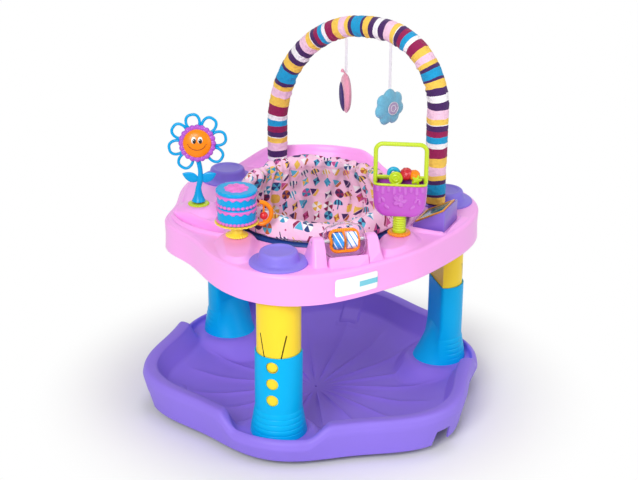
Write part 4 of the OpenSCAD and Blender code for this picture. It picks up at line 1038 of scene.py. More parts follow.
def seat_cut(corner, middle):
    """Place on the flat cloth, in metres, of a face's corner: the bottom is a round panel, and the wall
    and the roll are one strip, laid out round the seat."""
    far = math.hypot(middle.x, middle.y)
    if far < 116 and middle.z < 300:
        return (corner.x * MM + 1, corner.y * MM)
    bend = math.degrees(math.atan2(middle.y, middle.x))
    turn = bend + off_step(math.degrees(math.atan2(corner.y, corner.x)) - bend, 360)
    r, rim = math.hypot(corner.x, corner.y), seat_height(turn)
    along = corner.z - 340 + 0.35 * (r - 155) * (1 - ease(330, 380, corner.z))
    roll_start, roll_middle = rim - ROLL_DROP - 340, 169 - 0.36 * (rim - 415)
    if middle.z > rim - ROLL_DROP:
        along = roll_start + ROLL_R * (math.pi / 2 + math.atan2(r - roll_middle, corner.z - rim + ROLL_DROP))
    elif middle.z > 412 and far > roll_middle + 0.36 * (rim - middle.z):
        along = roll_start + ROLL_R * math.pi + rim - ROLL_DROP - corner.z
    return (math.radians(turn) * 0.16, along * MM)


seat_map = seat_bucket.data.uv_layers.new(name="cut")
for face in seat_bucket.data.polygons:
    middle = face.center / MM
    for k in face.loop_indices:
        corner = seat_bucket.data.vertices[seat_bucket.data.loops[k].vertex_index].co
        seat_map.data[k].uv = seat_cut(corner / MM, middle)
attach(seat_bucket, "seat")
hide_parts("seat_pad")

# Toy arch. A plastic tube bent in one upright plane, with a wide bend on the left and a tight one on
# the right, in a loosely padded sleeve of striped cloth that puckers on the inside of the bends.
ARCH_FOOT_LEFT, ARCH_FOOT_RIGHT = Vector((*ARCH_LEFT, 0)), Vector((*ARCH_RIGHT, 0))
ARCH_WAY = (ARCH_FOOT_RIGHT - ARCH_FOOT_LEFT).normalized()
ARCH_FACE = ARCH_WAY.cross(Vector((0, 0, 1)))
ARCH_SPAN = (ARCH_FOOT_RIGHT - ARCH_FOOT_LEFT).length
ARCH_TOP, ARCH_FOOT_Z = 777, 432
WIDE_BEND, TIGHT_BEND = 262, 141
SLEEVE_MEAN_R, SLEEVE_END_R, SLEEVE_SEWN_R, ARCH_ROUND, ARCH_SPACING = 21.9, 16.5, 20.8, 48, 2.0
CLOTH_WIDTH = 0.132
BUG_ALONG, PLUSH_ALONG = 188, 302
STRIPE_DYES = {"plum": linear(66, 22, 94), "cyan": linear(4, 158, 214), "yellow": linear(252, 206, 84),
               "blush": linear(252, 206, 232), "berry": linear(150, 6, 80), "white": linear(252, 248, 252)}
STRIPES = (("plum", 5), ("cyan", 22), ("plum", 9), ("yellow", 11), ("blush", 18), ("yellow", 19),
           ("berry", 20), ("white", 11), ("cyan", 14), ("berry", 12), ("plum", 12), ("white", 2),
           ("yellow", 12), ("blush", 19), ("plum", 15), ("white", 13), ("plum", 13), ("yellow", 15))
GATHERS = ((0, -22), (265, 241), (331, 327), (420, 436), (500, 516), (600, 627), (680, 704), (737, 743),
           (870, 864), (950, 946))


def arch_walk(spacing):
    """Points from the right foot over the top to the left foot: (along, height, bend, length)."""
    out, length = [], 0.0

    def add(s, z, bend):
        nonlocal length
        if out:
            length += math.hypot(s - out[-1][0], z - out[-1][1])
        out.append((s, z, bend, length))

    def arc(middle, radius, angle, bend):
        add(middle + radius * math.cos(angle), ARCH_TOP - radius + radius * math.sin(angle), bend)

    quarter = math.pi / 2
    for k in range(int((ARCH_TOP - TIGHT_BEND - ARCH_FOOT_Z) / spacing) + 1):
        add(ARCH_SPAN, ARCH_FOOT_Z + spacing * k, 0)
    for a in (k * spacing / TIGHT_BEND for k in range(1, int(TIGHT_BEND * quarter / spacing) + 1)):
        arc(ARCH_SPAN - TIGHT_BEND, TIGHT_BEND, a, ease(0, 0.3, a))
    for k in range(int((ARCH_SPAN - WIDE_BEND - TIGHT_BEND) / spacing) + 1):
        add(ARCH_SPAN - TIGHT_BEND - spacing * k, ARCH_TOP, 1)
    for a in (quarter + k * spacing / WIDE_BEND for k in range(1, int(WIDE_BEND * quarter / spacing) + 1)):
        arc(WIDE_BEND, WIDE_BEND, a, 1 - ease(math.pi - 0.3, math.pi, a))
    for k in range(int((ARCH_TOP - WIDE_BEND - ARCH_FOOT_Z) / spacing) + 1):
        add(0, ARCH_TOP - WIDE_BEND - spacing * k, 0)
    return out


def stripe_bands(tree, place):
    """Bands of dyed cloth across the sleeve, with slightly wavering edges."""
    total = sum(width for _, width in STRIPES)
    starts = [sum(width for _, width in STRIPES[:k]) / total for k in range(len(STRIPES))]
    along = mottle(tree, place, 26) * 0.007 + axes(tree, place)[0]
    share = (along * (1000 / total)).sums("FRACT")
    return bands(tree, share, [(start, STRIPE_DYES[dye]) for start, (dye, _) in zip(starts, STRIPES)])


def cloth_run(length):
    """Length of cloth up to a point of the tube; the sleeve is bunched in some stretches, drawn in others."""
    for (a, run_a), (b, run_b) in zip(GATHERS, GATHERS[1:]):
        if length <= b:
            return run_a + (run_b - run_a) * (length - a) / (b - a)
    return run_b


def sleeve_reach(s, z, bend, length, end, u, v):
    """Radius of the sleeve's cloth at a point of the arch; u and v say which side, and u of -1 is inside."""
    inner = max(0.0, -u) ** 2
    pucker = noise.noise((length / 9, u * 1.2, v * 1.2))
    slack = noise.noise((length / 42, u, 5 + v))
    crease = noise.noise((length / 3.6, u * 2, v * 2 + 11))
    r = SLEEVE_MEAN_R + (0.9 + 2.0 * inner * bend) * pucker + 0.8 * slack + 0.8 * crease
    if z > ARCH_TOP - 120:
        sewn = sum(math.exp(-((s - along) / 9) ** 2) for along in (BUG_ALONG, PLUSH_ALONG))
        r += (SLEEVE_SEWN_R - r) * min(1, sewn) * ease(0.3, 0.9, inner)
    return SLEEVE_END_R + (r - SLEEVE_END_R) * math.sqrt(max(0, 1 - (1 - end) ** 2))


striped_cloth = cloth("striped_cloth", stripe_bands, "cut", threads=900, depth=0.0003, sheen=0.08,
                      wrinkle=0.006)
arch_path = arch_walk(ARCH_SPACING)
arch_points = []
for i, (s, z, bend, length) in enumerate(arch_path):
    before, after = arch_path[max(0, i - 1)], arch_path[min(len(arch_path) - 1, i + 1)]
    way = (ARCH_WAY * (after[0] - before[0]) + Vector((0, 0, after[1] - before[1]))).normalized()
    outward = way.cross(ARCH_FACE).normalized()
    end = min(1.0, length / 6, (arch_path[-1][3] - length) / 6)
    centre = ARCH_FOOT_LEFT + ARCH_WAY * s + Vector((0, 0, z))
    for u, v, _ in (polar(1, 360 * j / ARCH_ROUND) for j in range(ARCH_ROUND)):
        arch_points.append(tuple(centre + (outward * u + ARCH_FACE * v)
                                 * sleeve_reach(s, z, bend, length, end, u, v)))
arch_faces = capped_faces(len(arch_path), ARCH_ROUND)
arch_cover = face_out(as_piece("arch_cover", arch_points, arch_faces, striped_cloth))
arch_map = arch_cover.data.uv_layers.new(name="cut")
for face in arch_cover.data.polygons:
    corners = [divmod(arch_cover.data.loops[k].vertex_index, ARCH_ROUND) for k in face.loop_indices]
    last = max(column for _, column in corners)
    for k, (row, column) in zip(face.loop_indices, corners):
        wrapped = ARCH_ROUND if column == 0 and last == ARCH_ROUND - 1 else column
        arch_map.data[k].uv = (cloth_run(arch_path[row][3]) * MM, wrapped / ARCH_ROUND * CLOTH_WIDTH)
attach(arch_cover, "tray")
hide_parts("arch_sleeve")

# Hanging bug and flower. Two small stuffed toys of short-pile plush with sewn-on patches, each on a
# white woven ribbon that is stitched round the arch and lets the toy swing.
ARCH_TURN = math.degrees(math.atan2(ARCH_WAY.y, ARCH_WAY.x))
RIBBON_EDGE = ((-3.5, -0.45), (-3.1, -0.6), (3.1, -0.6), (3.5, -0.45),
               (3.5, 0.45), (3.1, 0.6), (-3.1, 0.6), (-3.5, 0.45))
RIBBON_WIDTH, RIBBON_ROWS, RIBBON_STOPS, COVER_R = 7, 40, 20, 22
BUG_RIBBON, BUG_R, BUG_TURN, BUG_THICK = 74, 43, -44, 20
PLUSH_RIBBON, PLUSH_TURN, PLUSH_THICK = 96, 78, 22
BUG_DROP, PLUSH_DROP = BUG_RIBBON + 45, PLUSH_RIBBON + 41
BUG_PATCH_R, BUG_PATCH_LOW, HEART_R, STITCH_RADII = 31, 7, 13, (6.5, 13.4)
TOY_PRESSURE, TOY_SWELL, TOY_VOXEL = 4, 4, 0.003


def hang_point(along):
    """Point under the arch's cover, in millimetres."""
    radius = WIDE_BEND if along < WIDE_BEND else TIGHT_BEND
    off = WIDE_BEND - along if along < WIDE_BEND else max(0, along - ARCH_SPAN + TIGHT_BEND)
    z = ARCH_TOP - radius + math.sqrt((radius - COVER_R) ** 2 - (off + RIBBON_WIDTH / 2) ** 2) - 0.3
    return ARCH_FOOT_LEFT + ARCH_WAY * along + Vector((0, 0, z))


def two_tones(first, second, scale):
    """Cloth colour that wanders between two tones."""
    return lambda tree, place: blend_colour(tree, mottle(tree, place, scale), first, second)


ribbon_tones = two_tones(linear(236, 232, 240), linear(246, 244, 250), 200)
ribbon_white = cloth("ribbon_white", ribbon_tones, threads=1500)


def ribbon(name, along, length, body, node):
    """Flat woven ribbon from the arch to the toy, a little narrower halfway."""
    top = hang_point(along)
    points = []
    for share in (i / RIBBON_ROWS for i in range(RIBBON_ROWS + 1)):
        flare = 1 - 0.12 * math.sin(math.pi * share)
        points += [tuple(top + ARCH_WAY * x * flare + ARCH_FACE * y + Vector((0, 0, -length * share)))
                   for x, y in RIBBON_EDGE]
    faces = capped_faces(RIBBON_ROWS + 1, len(RIBBON_EDGE))
    piece = smooth_but_edges(face_out(as_piece(name, points, faces, ribbon_white)), 40)
    stops = [top + Vector((0, 0, -length * k / RIBBON_STOPS)) for k in range(RIBBON_STOPS + 1)]
    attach(piece, body)
    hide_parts(node)
    tuple(top * MM)
    [tuple(stop * MM) for stop in stops]


ribbon("bug_hanger", BUG_ALONG, BUG_RIBBON, "hanging_bug", "bug_ribbon")
ribbon("flower_hanger", PLUSH_ALONG, PLUSH_RIBBON, "hanging_flower", "plush_ribbon")


def plush(name, first, second, scale):
    """Short-pile plush: fine fibres, soft sheen."""
    return cloth(name, two_tones(first, second, scale), threads=700, depth=0.0006, rough=0.95, sheen=0.6)


def crown(share):
    """Rise of a stuffed side, from 1 in the middle to 0 at its seam."""
    return math.sqrt(max(0, 1 - min(1.0, share) ** 2.6))


def stuffed(name, outline, thick, finish):
    """Stuffed toy from an outline (radius by angle), crowned on both sides and plumped."""
    steps, rings = 96, 8
    turns = [360 * j / steps for j in range(steps)]
    side_points = [polar(k / rings * outline(turn), turn, thick / 2 * crown(k / rings))
                   for k in range(rings + 1) for turn in turns]
    faces = strip_faces(rings + 1, steps, False, True)
    faces += [tuple(i + len(side_points) for i in face[::-1]) for face in faces]
    piece = face_out(as_piece(name, side_points + [(x, y, -z) for x, y, z in side_points], faces, finish))
    plump(piece, TOY_PRESSURE, TOY_SWELL, lambda x, y, z: abs(z) < 0.6, TOY_VOXEL)
    return finer(piece)


def patch(name, radius, finish, rise):
    """Sewn-on round patch that follows the toy's crowned side."""
    steps, rings = 64, 8
    points = []
    for u in (k / rings for k in range(rings + 1)):
        for x, y, _ in (polar(radius * u, 360 * j / steps) for j in range(steps)):
            points.append((x, y, rise(x, y) + 1.1 * math.sqrt(max(0, 1 - u ** 4)) - 0.3))
    return face_out(as_piece(name, points, strip_faces(rings + 1, steps, False, True), finish))


def hang(piece, along, drop, turn):
    """From the toy's own frame (facing +Z) to its place under the arch."""
    spin = Matrix.Rotation(math.radians(ARCH_TURN + turn), 4, "Z") @ Matrix.Rotation(math.radians(90), 4, "X")
    piece.data.transform(Matrix.Translation((hang_point(along) + Vector((0, 0, -drop))) * MM) @ spin)
    piece.data.update()
    return piece


bug_pink = plush("bug_pink", linear(246, 150, 182), linear(252, 172, 200), 420)
patch_plum = cloth("patch_plum", two_tones(linear(48, 26, 108), linear(66, 38, 126), 80), threads=700,
                   depth=0.0005, rough=0.95, sheen=0.06)
bug_toy = stuffed("bug_toy", lambda turn: BUG_R + math.sin(math.radians(turn)), BUG_THICK, bug_pink)
hang(bug_toy, BUG_ALONG, BUG_DROP, BUG_TURN)
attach(bug_toy, "hanging_bug")
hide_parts("bug_body")


def bug_side(x, y):
    """Height of the bug's plump side under its patch, which sits low on it."""
    return 11.6 * crown(math.hypot(x, y - BUG_PATCH_LOW) / BUG_R)


bug_patch = stand(patch("bug_patch", BUG_PATCH_R, patch_plum, bug_side), (0, -BUG_PATCH_LOW, 0))
hang(bug_patch, BUG_ALONG, BUG_DROP, BUG_TURN)
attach(bug_patch, "hanging_bug")


def shaped_ball(name, make, centre, radius, finish, squash=(1, 1, 1), **settings):
    """Ball made by a bmesh operator, squashed and put in its place."""
    work = bmesh.new()
    make(work, radius=radius * MM, **settings)
    mesh = bpy.data.meshes.new(name)
    work.to_mesh(mesh)
    work.free()
    mesh.transform(Matrix.Translation(Vector(centre) * MM) @ Matrix.Diagonal((*squash, 1)))
    mesh.materials.append(finish)
    mesh.polygons.foreach_set("use_smooth", [True] * len(mesh.polygons))
    piece = bpy.data.objects.new(name, mesh)
    bpy.context.collection.objects.link(piece)
    return piece


def ball(name, centre, radius, finish, squash=(1, 1, 1)):
    """Round bead of fine faces."""
    return shaped_ball(name, bmesh.ops.create_uvsphere, centre, radius, finish, squash,
                       u_segments=32, v_segments=20)


feelers = []
for way in (-1, 1):
    stalk = [(way * (8.5 + 2.5 * t * t), 42.6 + (9.5 + 2 * way) * t - 2 * t * t, (8 + 2 * way) * t)
             for t in (k / 10 for k in range(11))]
    feelers.append(tube_along(f"feeler_{way}", stalk, 1.1, bug_pink, 10))
    feelers.append(ball(f"feeler_tip_{way}", stalk[-1], 2.9, bug_pink))
bug_feelers = hang(joined("bug_feelers", *feelers), BUG_ALONG, BUG_DROP, BUG_TURN)
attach(bug_feelers, "hanging_bug")
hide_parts("bug_antenna")

flower_blue = plush("flower_blue", linear(92, 178, 214), linear(132, 204, 232), 380)
flower_mauve = plush("flower_mauve", linear(176, 150, 196), linear(196, 174, 212), 190)
thread_white = plush("thread_white", linear(222, 220, 236), linear(240, 238, 246), 190)


def seven_lobes(turn):
    """Outline of the plush flower."""
    return 31.5 + 8.5 * abs(math.cos(math.radians((turn - 90) * 3.5))) ** 0.7


def plush_side(x, y):
    """Height of the plush flower's plump side."""
    return 12.8 * crown(math.hypot(x, y) / 36)


plush_toy = stuffed("plush_toy", seven_lobes, PLUSH_THICK, flower_blue)
hang(plush_toy, PLUSH_ALONG, PLUSH_DROP, PLUSH_TURN)
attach(plush_toy, "hanging_flower")
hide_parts("plush_flower")
heart_parts = [patch("plush_heart", HEART_R, flower_mauve, plush_side)]
for r in STITCH_RADII:
    stitch = [polar(r, 360 * k / 48, plush_side(r, 0) + 0.6) for k in range(48)]
    heart_parts.append(tube_along(f"plush_stitch_{r}", stitch, 0.9, thread_white, 8, True))
plush_patch = hang(joined("plush_patch", *heart_parts), PLUSH_ALONG, PLUSH_DROP, PLUSH_TURN)
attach(plush_patch, "hanging_flower")

# Stem flower. A springy toy in glossy plastic: a curved cyan stem with two leaves on a lime socket,
# seven wire petals, a scalloped violet ring and a domed orange face with a plain smile.
toy_cyan = plastic("toy_cyan", linear(0, 166, 226), gloss=0.26, cloud=0.05, grain=1200, coat=0.1, shine=0.15)
toy_violet = plastic("toy_violet", linear(180, 84, 206), gloss=0.28, cloud=0.06, grain=1200, coat=0.3)
toy_orange = plastic("toy_orange", linear(252, 138, 6), gloss=0.28, cloud=0.05, grain=1200, coat=0.14,
                     shine=0.2)
lime_plastic = plastic("lime_plastic", linear(196, 220, 40), gloss=0.3, cloud=0.06, grain=1200, coat=0.25)
eye_white = plastic("eye_white", linear(250, 250, 248), gloss=0.2, cloud=0.02, grain=1500, coat=0.4)
eye_black = plastic("eye_black", linear(20, 16, 22), gloss=0.18, cloud=0.1, grain=1500, coat=0.4)
smile_brown = plastic("smile_brown", linear(150, 66, 16), gloss=0.4, cloud=0.1, grain=1500)
SOCKET_FOOT, FLOWER_FOOT, FLOWER_TURN = 425.9, 430.3, -14
HEAD_HIGH, HEAD_TIP = 129, 78
SOCKET_TEETH, FRILL_WAVES = 24, 20
BLADE_ROWS, BLADE_COLUMNS, BLADE_LONG, BLADE_HALF, BLADE_RISE, BLADE_FOOT = 28, 16, 36, 10.5, 24, 48
PETALS, PETAL_FIRST, PETAL_STEP = 7, -33, 45
PETAL_MIDDLE, PETAL_LONG, PETAL_WIDE, PETAL_WIRE = 44.2, 14.6, 14, 3.0
FACE_R, FACE_FOOT, FACE_RISE = 29, 10, 8.2


def at_flower(piece):
    """From the stem's foot to its place on the tray."""
    return stand(piece, (*FLOWER_AT, FLOWER_FOOT), (0, 0, FLOWER_TURN))


def at_head(piece):
    """From the head's own frame (facing +Z, up +Y) to its place on the stem."""
    return at_flower(stand(piece, (0, 0, HEAD_HIGH), (HEAD_TIP, 0, 0)))


def wavy_lathe(name, profile, finish, wave, steps):
    """Turned piece from (radius, height) points, each with marks of its own if need be, that
    wave(turn in radians, radius, marks) moves out and up."""
    points = []
    for r, z, *marks in profile:
        for turn in (360 * j / steps for j in range(steps)):
            out, lift = wave(math.radians(turn), r, *marks)
            points.append(polar(r + out, turn, z + lift))
    faces = strip_faces(len(profile), steps, profile[0][0] > 0, True)
    return smooth_but_edges(face_out(as_piece(name, points, faces, finish)), 50)


def socket_tooth(a, r):
    """Teeth round the socket's outside."""
    tooth = -1.6 * abs(math.sin(a * SOCKET_TEETH / 2)) if r > 15 else 0
    return tooth, 0


SOCKET_PROFILE = [(9.2, 0.2), (22, 0.2), (22.6, 1.2), (21.5, 3.2), (18, 4), (9.2, 4)]
flower_collar = wavy_lathe("flower_collar", SOCKET_PROFILE, lime_plastic, socket_tooth, 192)
stand(flower_collar, (*FLOWER_AT, SOCKET_FOOT))
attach(flower_collar, "tray")
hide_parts("flower_socket")

stem_path, stem_radii = [], []
for z in [0.3 + 0.4 * k for k in range(9)] + [4 + 91 * k / 58 for k in range(59)]:
    bow = 5.0 * math.sin(math.pi * (z - 30) / 65) if z > 30 else 0
    stem_path.append((bow, 0, z))
    foot = 5 + 11 * math.exp(-(z / 16) ** 1.3) + 1.4 * math.exp(-((z - 50) / 8) ** 2)
    stem_radii.append(min(foot, 4.6 * z))
blade_points = []
for t in (i / BLADE_ROWS for i in range(BLADE_ROWS + 1)):
    half = BLADE_HALF * math.sin(math.pi * t ** 0.8) ** 0.75
    for u, v, _ in (polar(1, 360 * j / BLADE_COLUMNS) for j in range(BLADE_COLUMNS)):
        rib = 0.7 * math.exp(-(u * half / 1.6) ** 2) if half > 2 else 0
        thick = (2.6 - rib) * min(1, half / 4 + 0.15)
        blade_points.append((BLADE_LONG * t, half * u, thick * v * (0.35 + 0.65 * abs(v))))
stem_parts = [tube_along("stem", stem_path, stem_radii, toy_cyan, 32)]
for way in (-1, 1):
    blade = as_piece(f"leaf_{way}", blade_points, capped_faces(BLADE_ROWS + 1, BLADE_COLUMNS), toy_cyan)
    stand(face_out(blade), (0, 0, 0), (90, -BLADE_RISE, 0))
    stem_parts.append(stand(blade, (way * 2 + 2.5, 0, BLADE_FOOT), (0, 0, 0 if way > 0 else 180)))
flower_stalk = smooth_but_edges(at_flower(joined("flower_stalk", *stem_parts)), 60)
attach(flower_stalk, "flower")
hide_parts("flower_stem")

# Copies of one piece round the upright axis, for petals and piped beads.
copies_ring, ring_in, ring_out = node_group(
    "copies_in_a_ring", "GeometryNodeTree",
    {"Piece": "Geometry", "Copies": "Int", "First turn": "Float", "Step turn": "Float", "Finish": "Material"},
    {"Ring": "Geometry"})
ring_places = add_node(copies_ring, "GeometryNodeMeshLine", {"Offset": (0, 0, 0), "Count": ring_in["Copies"]})
ring_index = Reading(copies_ring, copies_ring.nodes.new("GeometryNodeInputIndex").outputs[0])
ring_turn = add_node(copies_ring, "ShaderNodeCombineXYZ",
                     {"Z": ring_index * ring_in["Step turn"] + ring_in["First turn"]})
ring_copies = add_node(copies_ring, "GeometryNodeInstanceOnPoints",
                       {"Points": ring_places.outputs["Mesh"], "Instance": ring_in["Piece"],
                        "Rotation": ring_turn.outputs[0]})
ring_real = add_node(copies_ring, "GeometryNodeRealizeInstances",
                     {"Geometry": ring_copies.outputs["Instances"]})
ring_finish = add_node(copies_ring, "GeometryNodeSetMaterial",
                       {"Geometry": ring_real.outputs["Geometry"], "Material": ring_in["Finish"]})
fill_in(copies_ring, ring_out, {"Ring": ring_finish.outputs["Geometry"]})


def ring_of(name, piece, copies, first, step):
    """The piece repeated round the upright axis, as one mesh; turns in degrees."""
    settings = {"Copies": copies, "First turn": math.radians(first), "Step turn": math.radians(step),
                "Finish": piece.data.materials[0]}
    growth = piece.modifiers.new("copies", "NODES")
    growth.node_group = copies_ring
    for socket in copies_ring.interface.items_tree:
        if socket.name in settings:
            growth[socket.identifier] = settings[socket.name]
    piece.name = name
    return keep_shape(piece)


petal_path = []
for u, v, _ in (polar(1, 5 * m) for m in range(72)):
    petal_path.append((PETAL_MIDDLE - PETAL_LONG * u, PETAL_WIDE * math.copysign(abs(v) ** 0.75, v), 0))
petal = tube_along("petal", petal_path, PETAL_WIRE, toy_cyan, 16, True)
petal_ring = ring_of("petal_ring", petal, PETALS, PETAL_FIRST, PETAL_STEP)
HUB_PROFILE = [(0, -3), (30, -3), (34, -2), (34.8, 0), (34, 2), (30, 3), (0, 3)]
petal_hub = lathe("petal_hub", HUB_PROFILE, toy_cyan, 96)
flower_loops = smooth_but_edges(at_head(joined("flower_loops", petal_hub, petal_ring)), 60)
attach(flower_loops, "flower")
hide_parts("flower_petals")


def frill_wave(a, r):
    """Scallops at the frill's edge, and dimples along its top."""
    scallop = 2.4 * (abs(math.cos(a * FRILL_WAVES / 2)) - 0.6) if r > 33 else 0
    dimple = math.cos(a * FRILL_WAVES) if 29 < r < 35 else 0
    return scallop, dimple


FRILL_PROFILE = [(0, 3.8), (36.5, 3.8), (37.6, 5), (37.4, 7.4), (36, 9.4), (33.6, 10.4), (30.5, 10.2),
                 (28, 9.4), (0, 9.4)]
flower_frill = at_head(wavy_lathe("flower_frill", FRILL_PROFILE, toy_violet, frill_wave, 240))
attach(flower_frill, "flower")
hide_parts("flower_ring")


def on_face(x, y, lift=0.0):
    """Point on the domed face, or a little above it."""
    share = min(1.0, math.hypot(x, y) / FACE_R)
    return x, y, FACE_FOOT + FACE_RISE * math.sqrt(max(0, 1 - share ** 2.4)) + lift


dome_shares = (0, 0.1, 0.2, 0.3, 0.4, 0.5, 0.6, 0.7, 0.78, 0.85, 0.9, 0.94, 0.97, 0.99, 1)
dome_profile = [(FACE_R * share, on_face(FACE_R * share, 0)[2]) for share in dome_shares]
face_parts = [lathe("face_dome", dome_profile + [(FACE_R, 9.6), (0, 9.6)], toy_orange, 128)]
for way in (-1, 1):
    face_parts.append(ball(f"eye_{way}", on_face(way * 6.6, 7, -0.4), 6.4, eye_white, (0.78, 1.12, 0.3)))
    x, y, z = on_face(way * 6.2 + 0.8, 5.4)
    face_parts.append(ball(f"pupil_{way}", (x, y, z + 0.9), 4.5, eye_black, (0.8, 1.15, 0.3)))
    face_parts.append(ball(f"glint_{way}", (x - 0.9, y + 2, z + 1.9), 0.9, eye_white, (1, 1, 0.4)))
    cheek = [on_face(way * (17 + 2.6 * t), -2.2 - 3.4 * t * (1 - t) + 1.5 * t, 0.1)
             for t in (k / 8 for k in range(9))]
    face_parts.append(tube_along(f"cheek_{way}", cheek, 0.7, smile_brown, 8))
smile = [on_face(18 * math.sin(a), 0.5 - 13.5 * math.cos(a), 0.1)
         for a in (math.radians(-72 + 3 * k) for k in range(49))]
face_parts.append(tube_along("smile", smile, 0.75, smile_brown, 8))
flower_smile = smooth_but_edges(at_head(joined("flower_smile", *face_parts)), 60)
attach(flower_smile, "flower")
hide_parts("flower_face")

# Layer cake. Two cyan tiers turn on a steel spindle over a yellow stand, each with pink piped icing;
# at the side an orange bow carries a red bead on a pin.
icing_pink = plastic("icing_pink", linear(230, 114, 202), gloss=0.3, cloud=0.08, grain=1200, coat=0.15)
stand_yellow = plastic("stand_yellow", linear(250, 226, 70), gloss=0.3, cloud=0.05, grain=1200, coat=0.25)
bead_red = plastic("bead_red", linear(222, 34, 40), gloss=0.22, cloud=0.06, grain=1500, coat=0.4)
CAKE_FOOT, TIER_HIGH, TIER_R, SPINDLE_HOLE = 428.2, 33, 38, 6
TIERS = {"lower": (459.8, 8.5, 30), "upper": (494.0, 13.5, 26)}
ROSETTE_RINGS, ROSETTE_STEPS, ROSETTE_R, ROSETTE_LOBES = 24, 216, 24.5, 9
BOW_X, BOW_Z, BOW_R, BOW_TURN, PIN_X, BEAD_Z, BEAD_R = 45, 476, 23, -15, 53, 470.9, 8


def ripple(waves, depth, lift=0.0):
    """Even waves round the axis for wavy_lathe; a point's mark is its share of them."""
    return lambda a, r, share: (depth * share * math.cos(a * waves), lift * share * math.cos(a * waves))


STAND_PROFILE = [
    (0, 0, 0), (21, 0, 1), (22, 1.2, 1), (21.2, 3.4, 1), (17, 5.2, 0.4), (13.4, 7.3, 0), (11.8, 10.8, 0),
    (11.4, 17, 0), (13.4, 22.6, 0), (20, 25.4, 0), (32, 27.4, 0.3), (42, 28.4, 1), (43.6, 29.8, 1),
    (42.8, 31, 1), (40.5, 31.3, 0), (0, 31.3, 0)]
cake_foot = wavy_lathe("cake_foot", STAND_PROFILE, stand_yellow, ripple(24, 0.7), 288)
stand(cake_foot, (*CAKE_AT, CAKE_FOOT))
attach(cake_foot, "tray")
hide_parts("cake_stand")


def rosette(top):
    """Ruffled swirl of icing on the upper tier, closed underneath."""
    points = []
    for i in range(ROSETTE_RINGS + 1):
        u = i / ROSETTE_RINGS
        for turn in (360 * j / ROSETTE_STEPS for j in range(ROSETTE_STEPS)):
            a = math.radians(turn * ROSETTE_LOBES)
            ruffle = 0.9 * math.sin(a + i * 0.42) * ease(0, 0.5, u)
            z = top + 1.4 + (1.2 + ruffle) * math.sin(math.pi * (0.25 + 0.7 * u)) - 2.6 * ease(0.88, 1, u)
            points.append(polar((ROSETTE_R + 1.3 * math.cos(a)) * u, turn, z))
    points += [(0, 0, top - 0.6)] * ROSETTE_STEPS
    faces = strip_faces(ROSETTE_RINGS + 2, ROSETTE_STEPS, False, True)
    return face_out(as_piece("rosette", points, faces, icing_pink))


for tier, (foot, drip_low, beads) in TIERS.items():
    top = foot + TIER_HIGH
    rim = [(TIER_R, top - 3, 0), (37.6, top - 1, 0), (36.4, top, 0)]
    if tier == "upper":
        rim = [(TIER_R, top - 8, 0), (38.4, top - 7, 1), (40.2, top - 5, 1), (40.6, top - 2.6, 1),
               (39.8, top - 0.6, 1), (38, top, 0.6), (34, top - 0.4, 0)]
    tier_profile = [(SPINDLE_HOLE, foot, 0), (36.6, foot, 0), (37.8, foot + 0.8, 0), (TIER_R, foot + 3, 0),
                    *rim, (SPINDLE_HOLE, top, 0)]
    tier_cake = wavy_lathe(f"{tier}_cake", tier_profile, toy_cyan, ripple(20, 0.5), 288)
    stand(tier_cake, (*CAKE_AT, 0))
    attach(tier_cake, f"cake_{tier}")
    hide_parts(f"cake_{tier}_tier")

    low = top - drip_low
    drip_profile = [(37.2, low, 1), (39.4, low + 0.2, 1), (40.4, low + 1.6, 0.9), (40.5, low + 3.2, 0.5),
                    (39.9, low + 5, 0.1), (38.6, low + 6, 0), (37.2, low + 6, 0)]
    piped = [wavy_lathe(f"{tier}_drip", drip_profile, icing_pink, ripple(16, 0, -1.8), 288)]
    bead = ball("icing_bead", (38.2, 0, foot + 3.6), 3.2, icing_pink, (0.9, 1.25, 1))
    piped.append(ring_of(f"{tier}_piping", bead, beads, 0, 360 / beads))
    if tier == "upper":
        piped.append(rosette(top))
    icing = smooth_but_edges(joined(f"{tier}_icing_piped", *piped), 60)
    stand(icing, (*CAKE_AT, 0))
    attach(icing, f"cake_{tier}")
    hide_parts(f"{tier}_icing")

half_bow = [(BOW_X + BOW_R * math.cos(a), 0, BOW_Z + BOW_R * math.sin(a))
            for a in (math.radians(-90 + 4 * k) for k in range(46))]
pin_path = [(PIN_X, 0, BOW_Z - 20), (PIN_X, 0, BOW_Z + 20)]
foot_path = [(20, 0, BOW_Z - BOW_R), (46, 0, BOW_Z - BOW_R)]
bead_bow = joined("side_bow", tube_along("bow_ring", half_bow, 4.5, toy_orange, 24),
                  tube_along("bow_pin", pin_path, 2, toy_orange, 16),
                  tube_along("bow_foot", foot_path, 2.9, toy_orange, 20))
stand(smooth_but_edges(bead_bow, 60), (*CAKE_AT, 0), (0, 0, BOW_TURN))
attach(bead_bow, "tray")
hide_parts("bead_bow")
bead_belly = [polar(BEAD_R, -75 + 7.5 * k)[:2] for k in range(21)]
sliding_bead = lathe("sliding_bead", [(2.4, -7.6), *bead_belly, (2.4, 7.6)], bead_red, 48)
stand(stand(sliding_bead, (PIN_X, 0, BEAD_Z)), (*CAKE_AT, 0), (0, 0, BOW_TURN))
smooth_but_edges(sliding_bead, 50)
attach(sliding_bead, "bead")
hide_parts("red_bead")

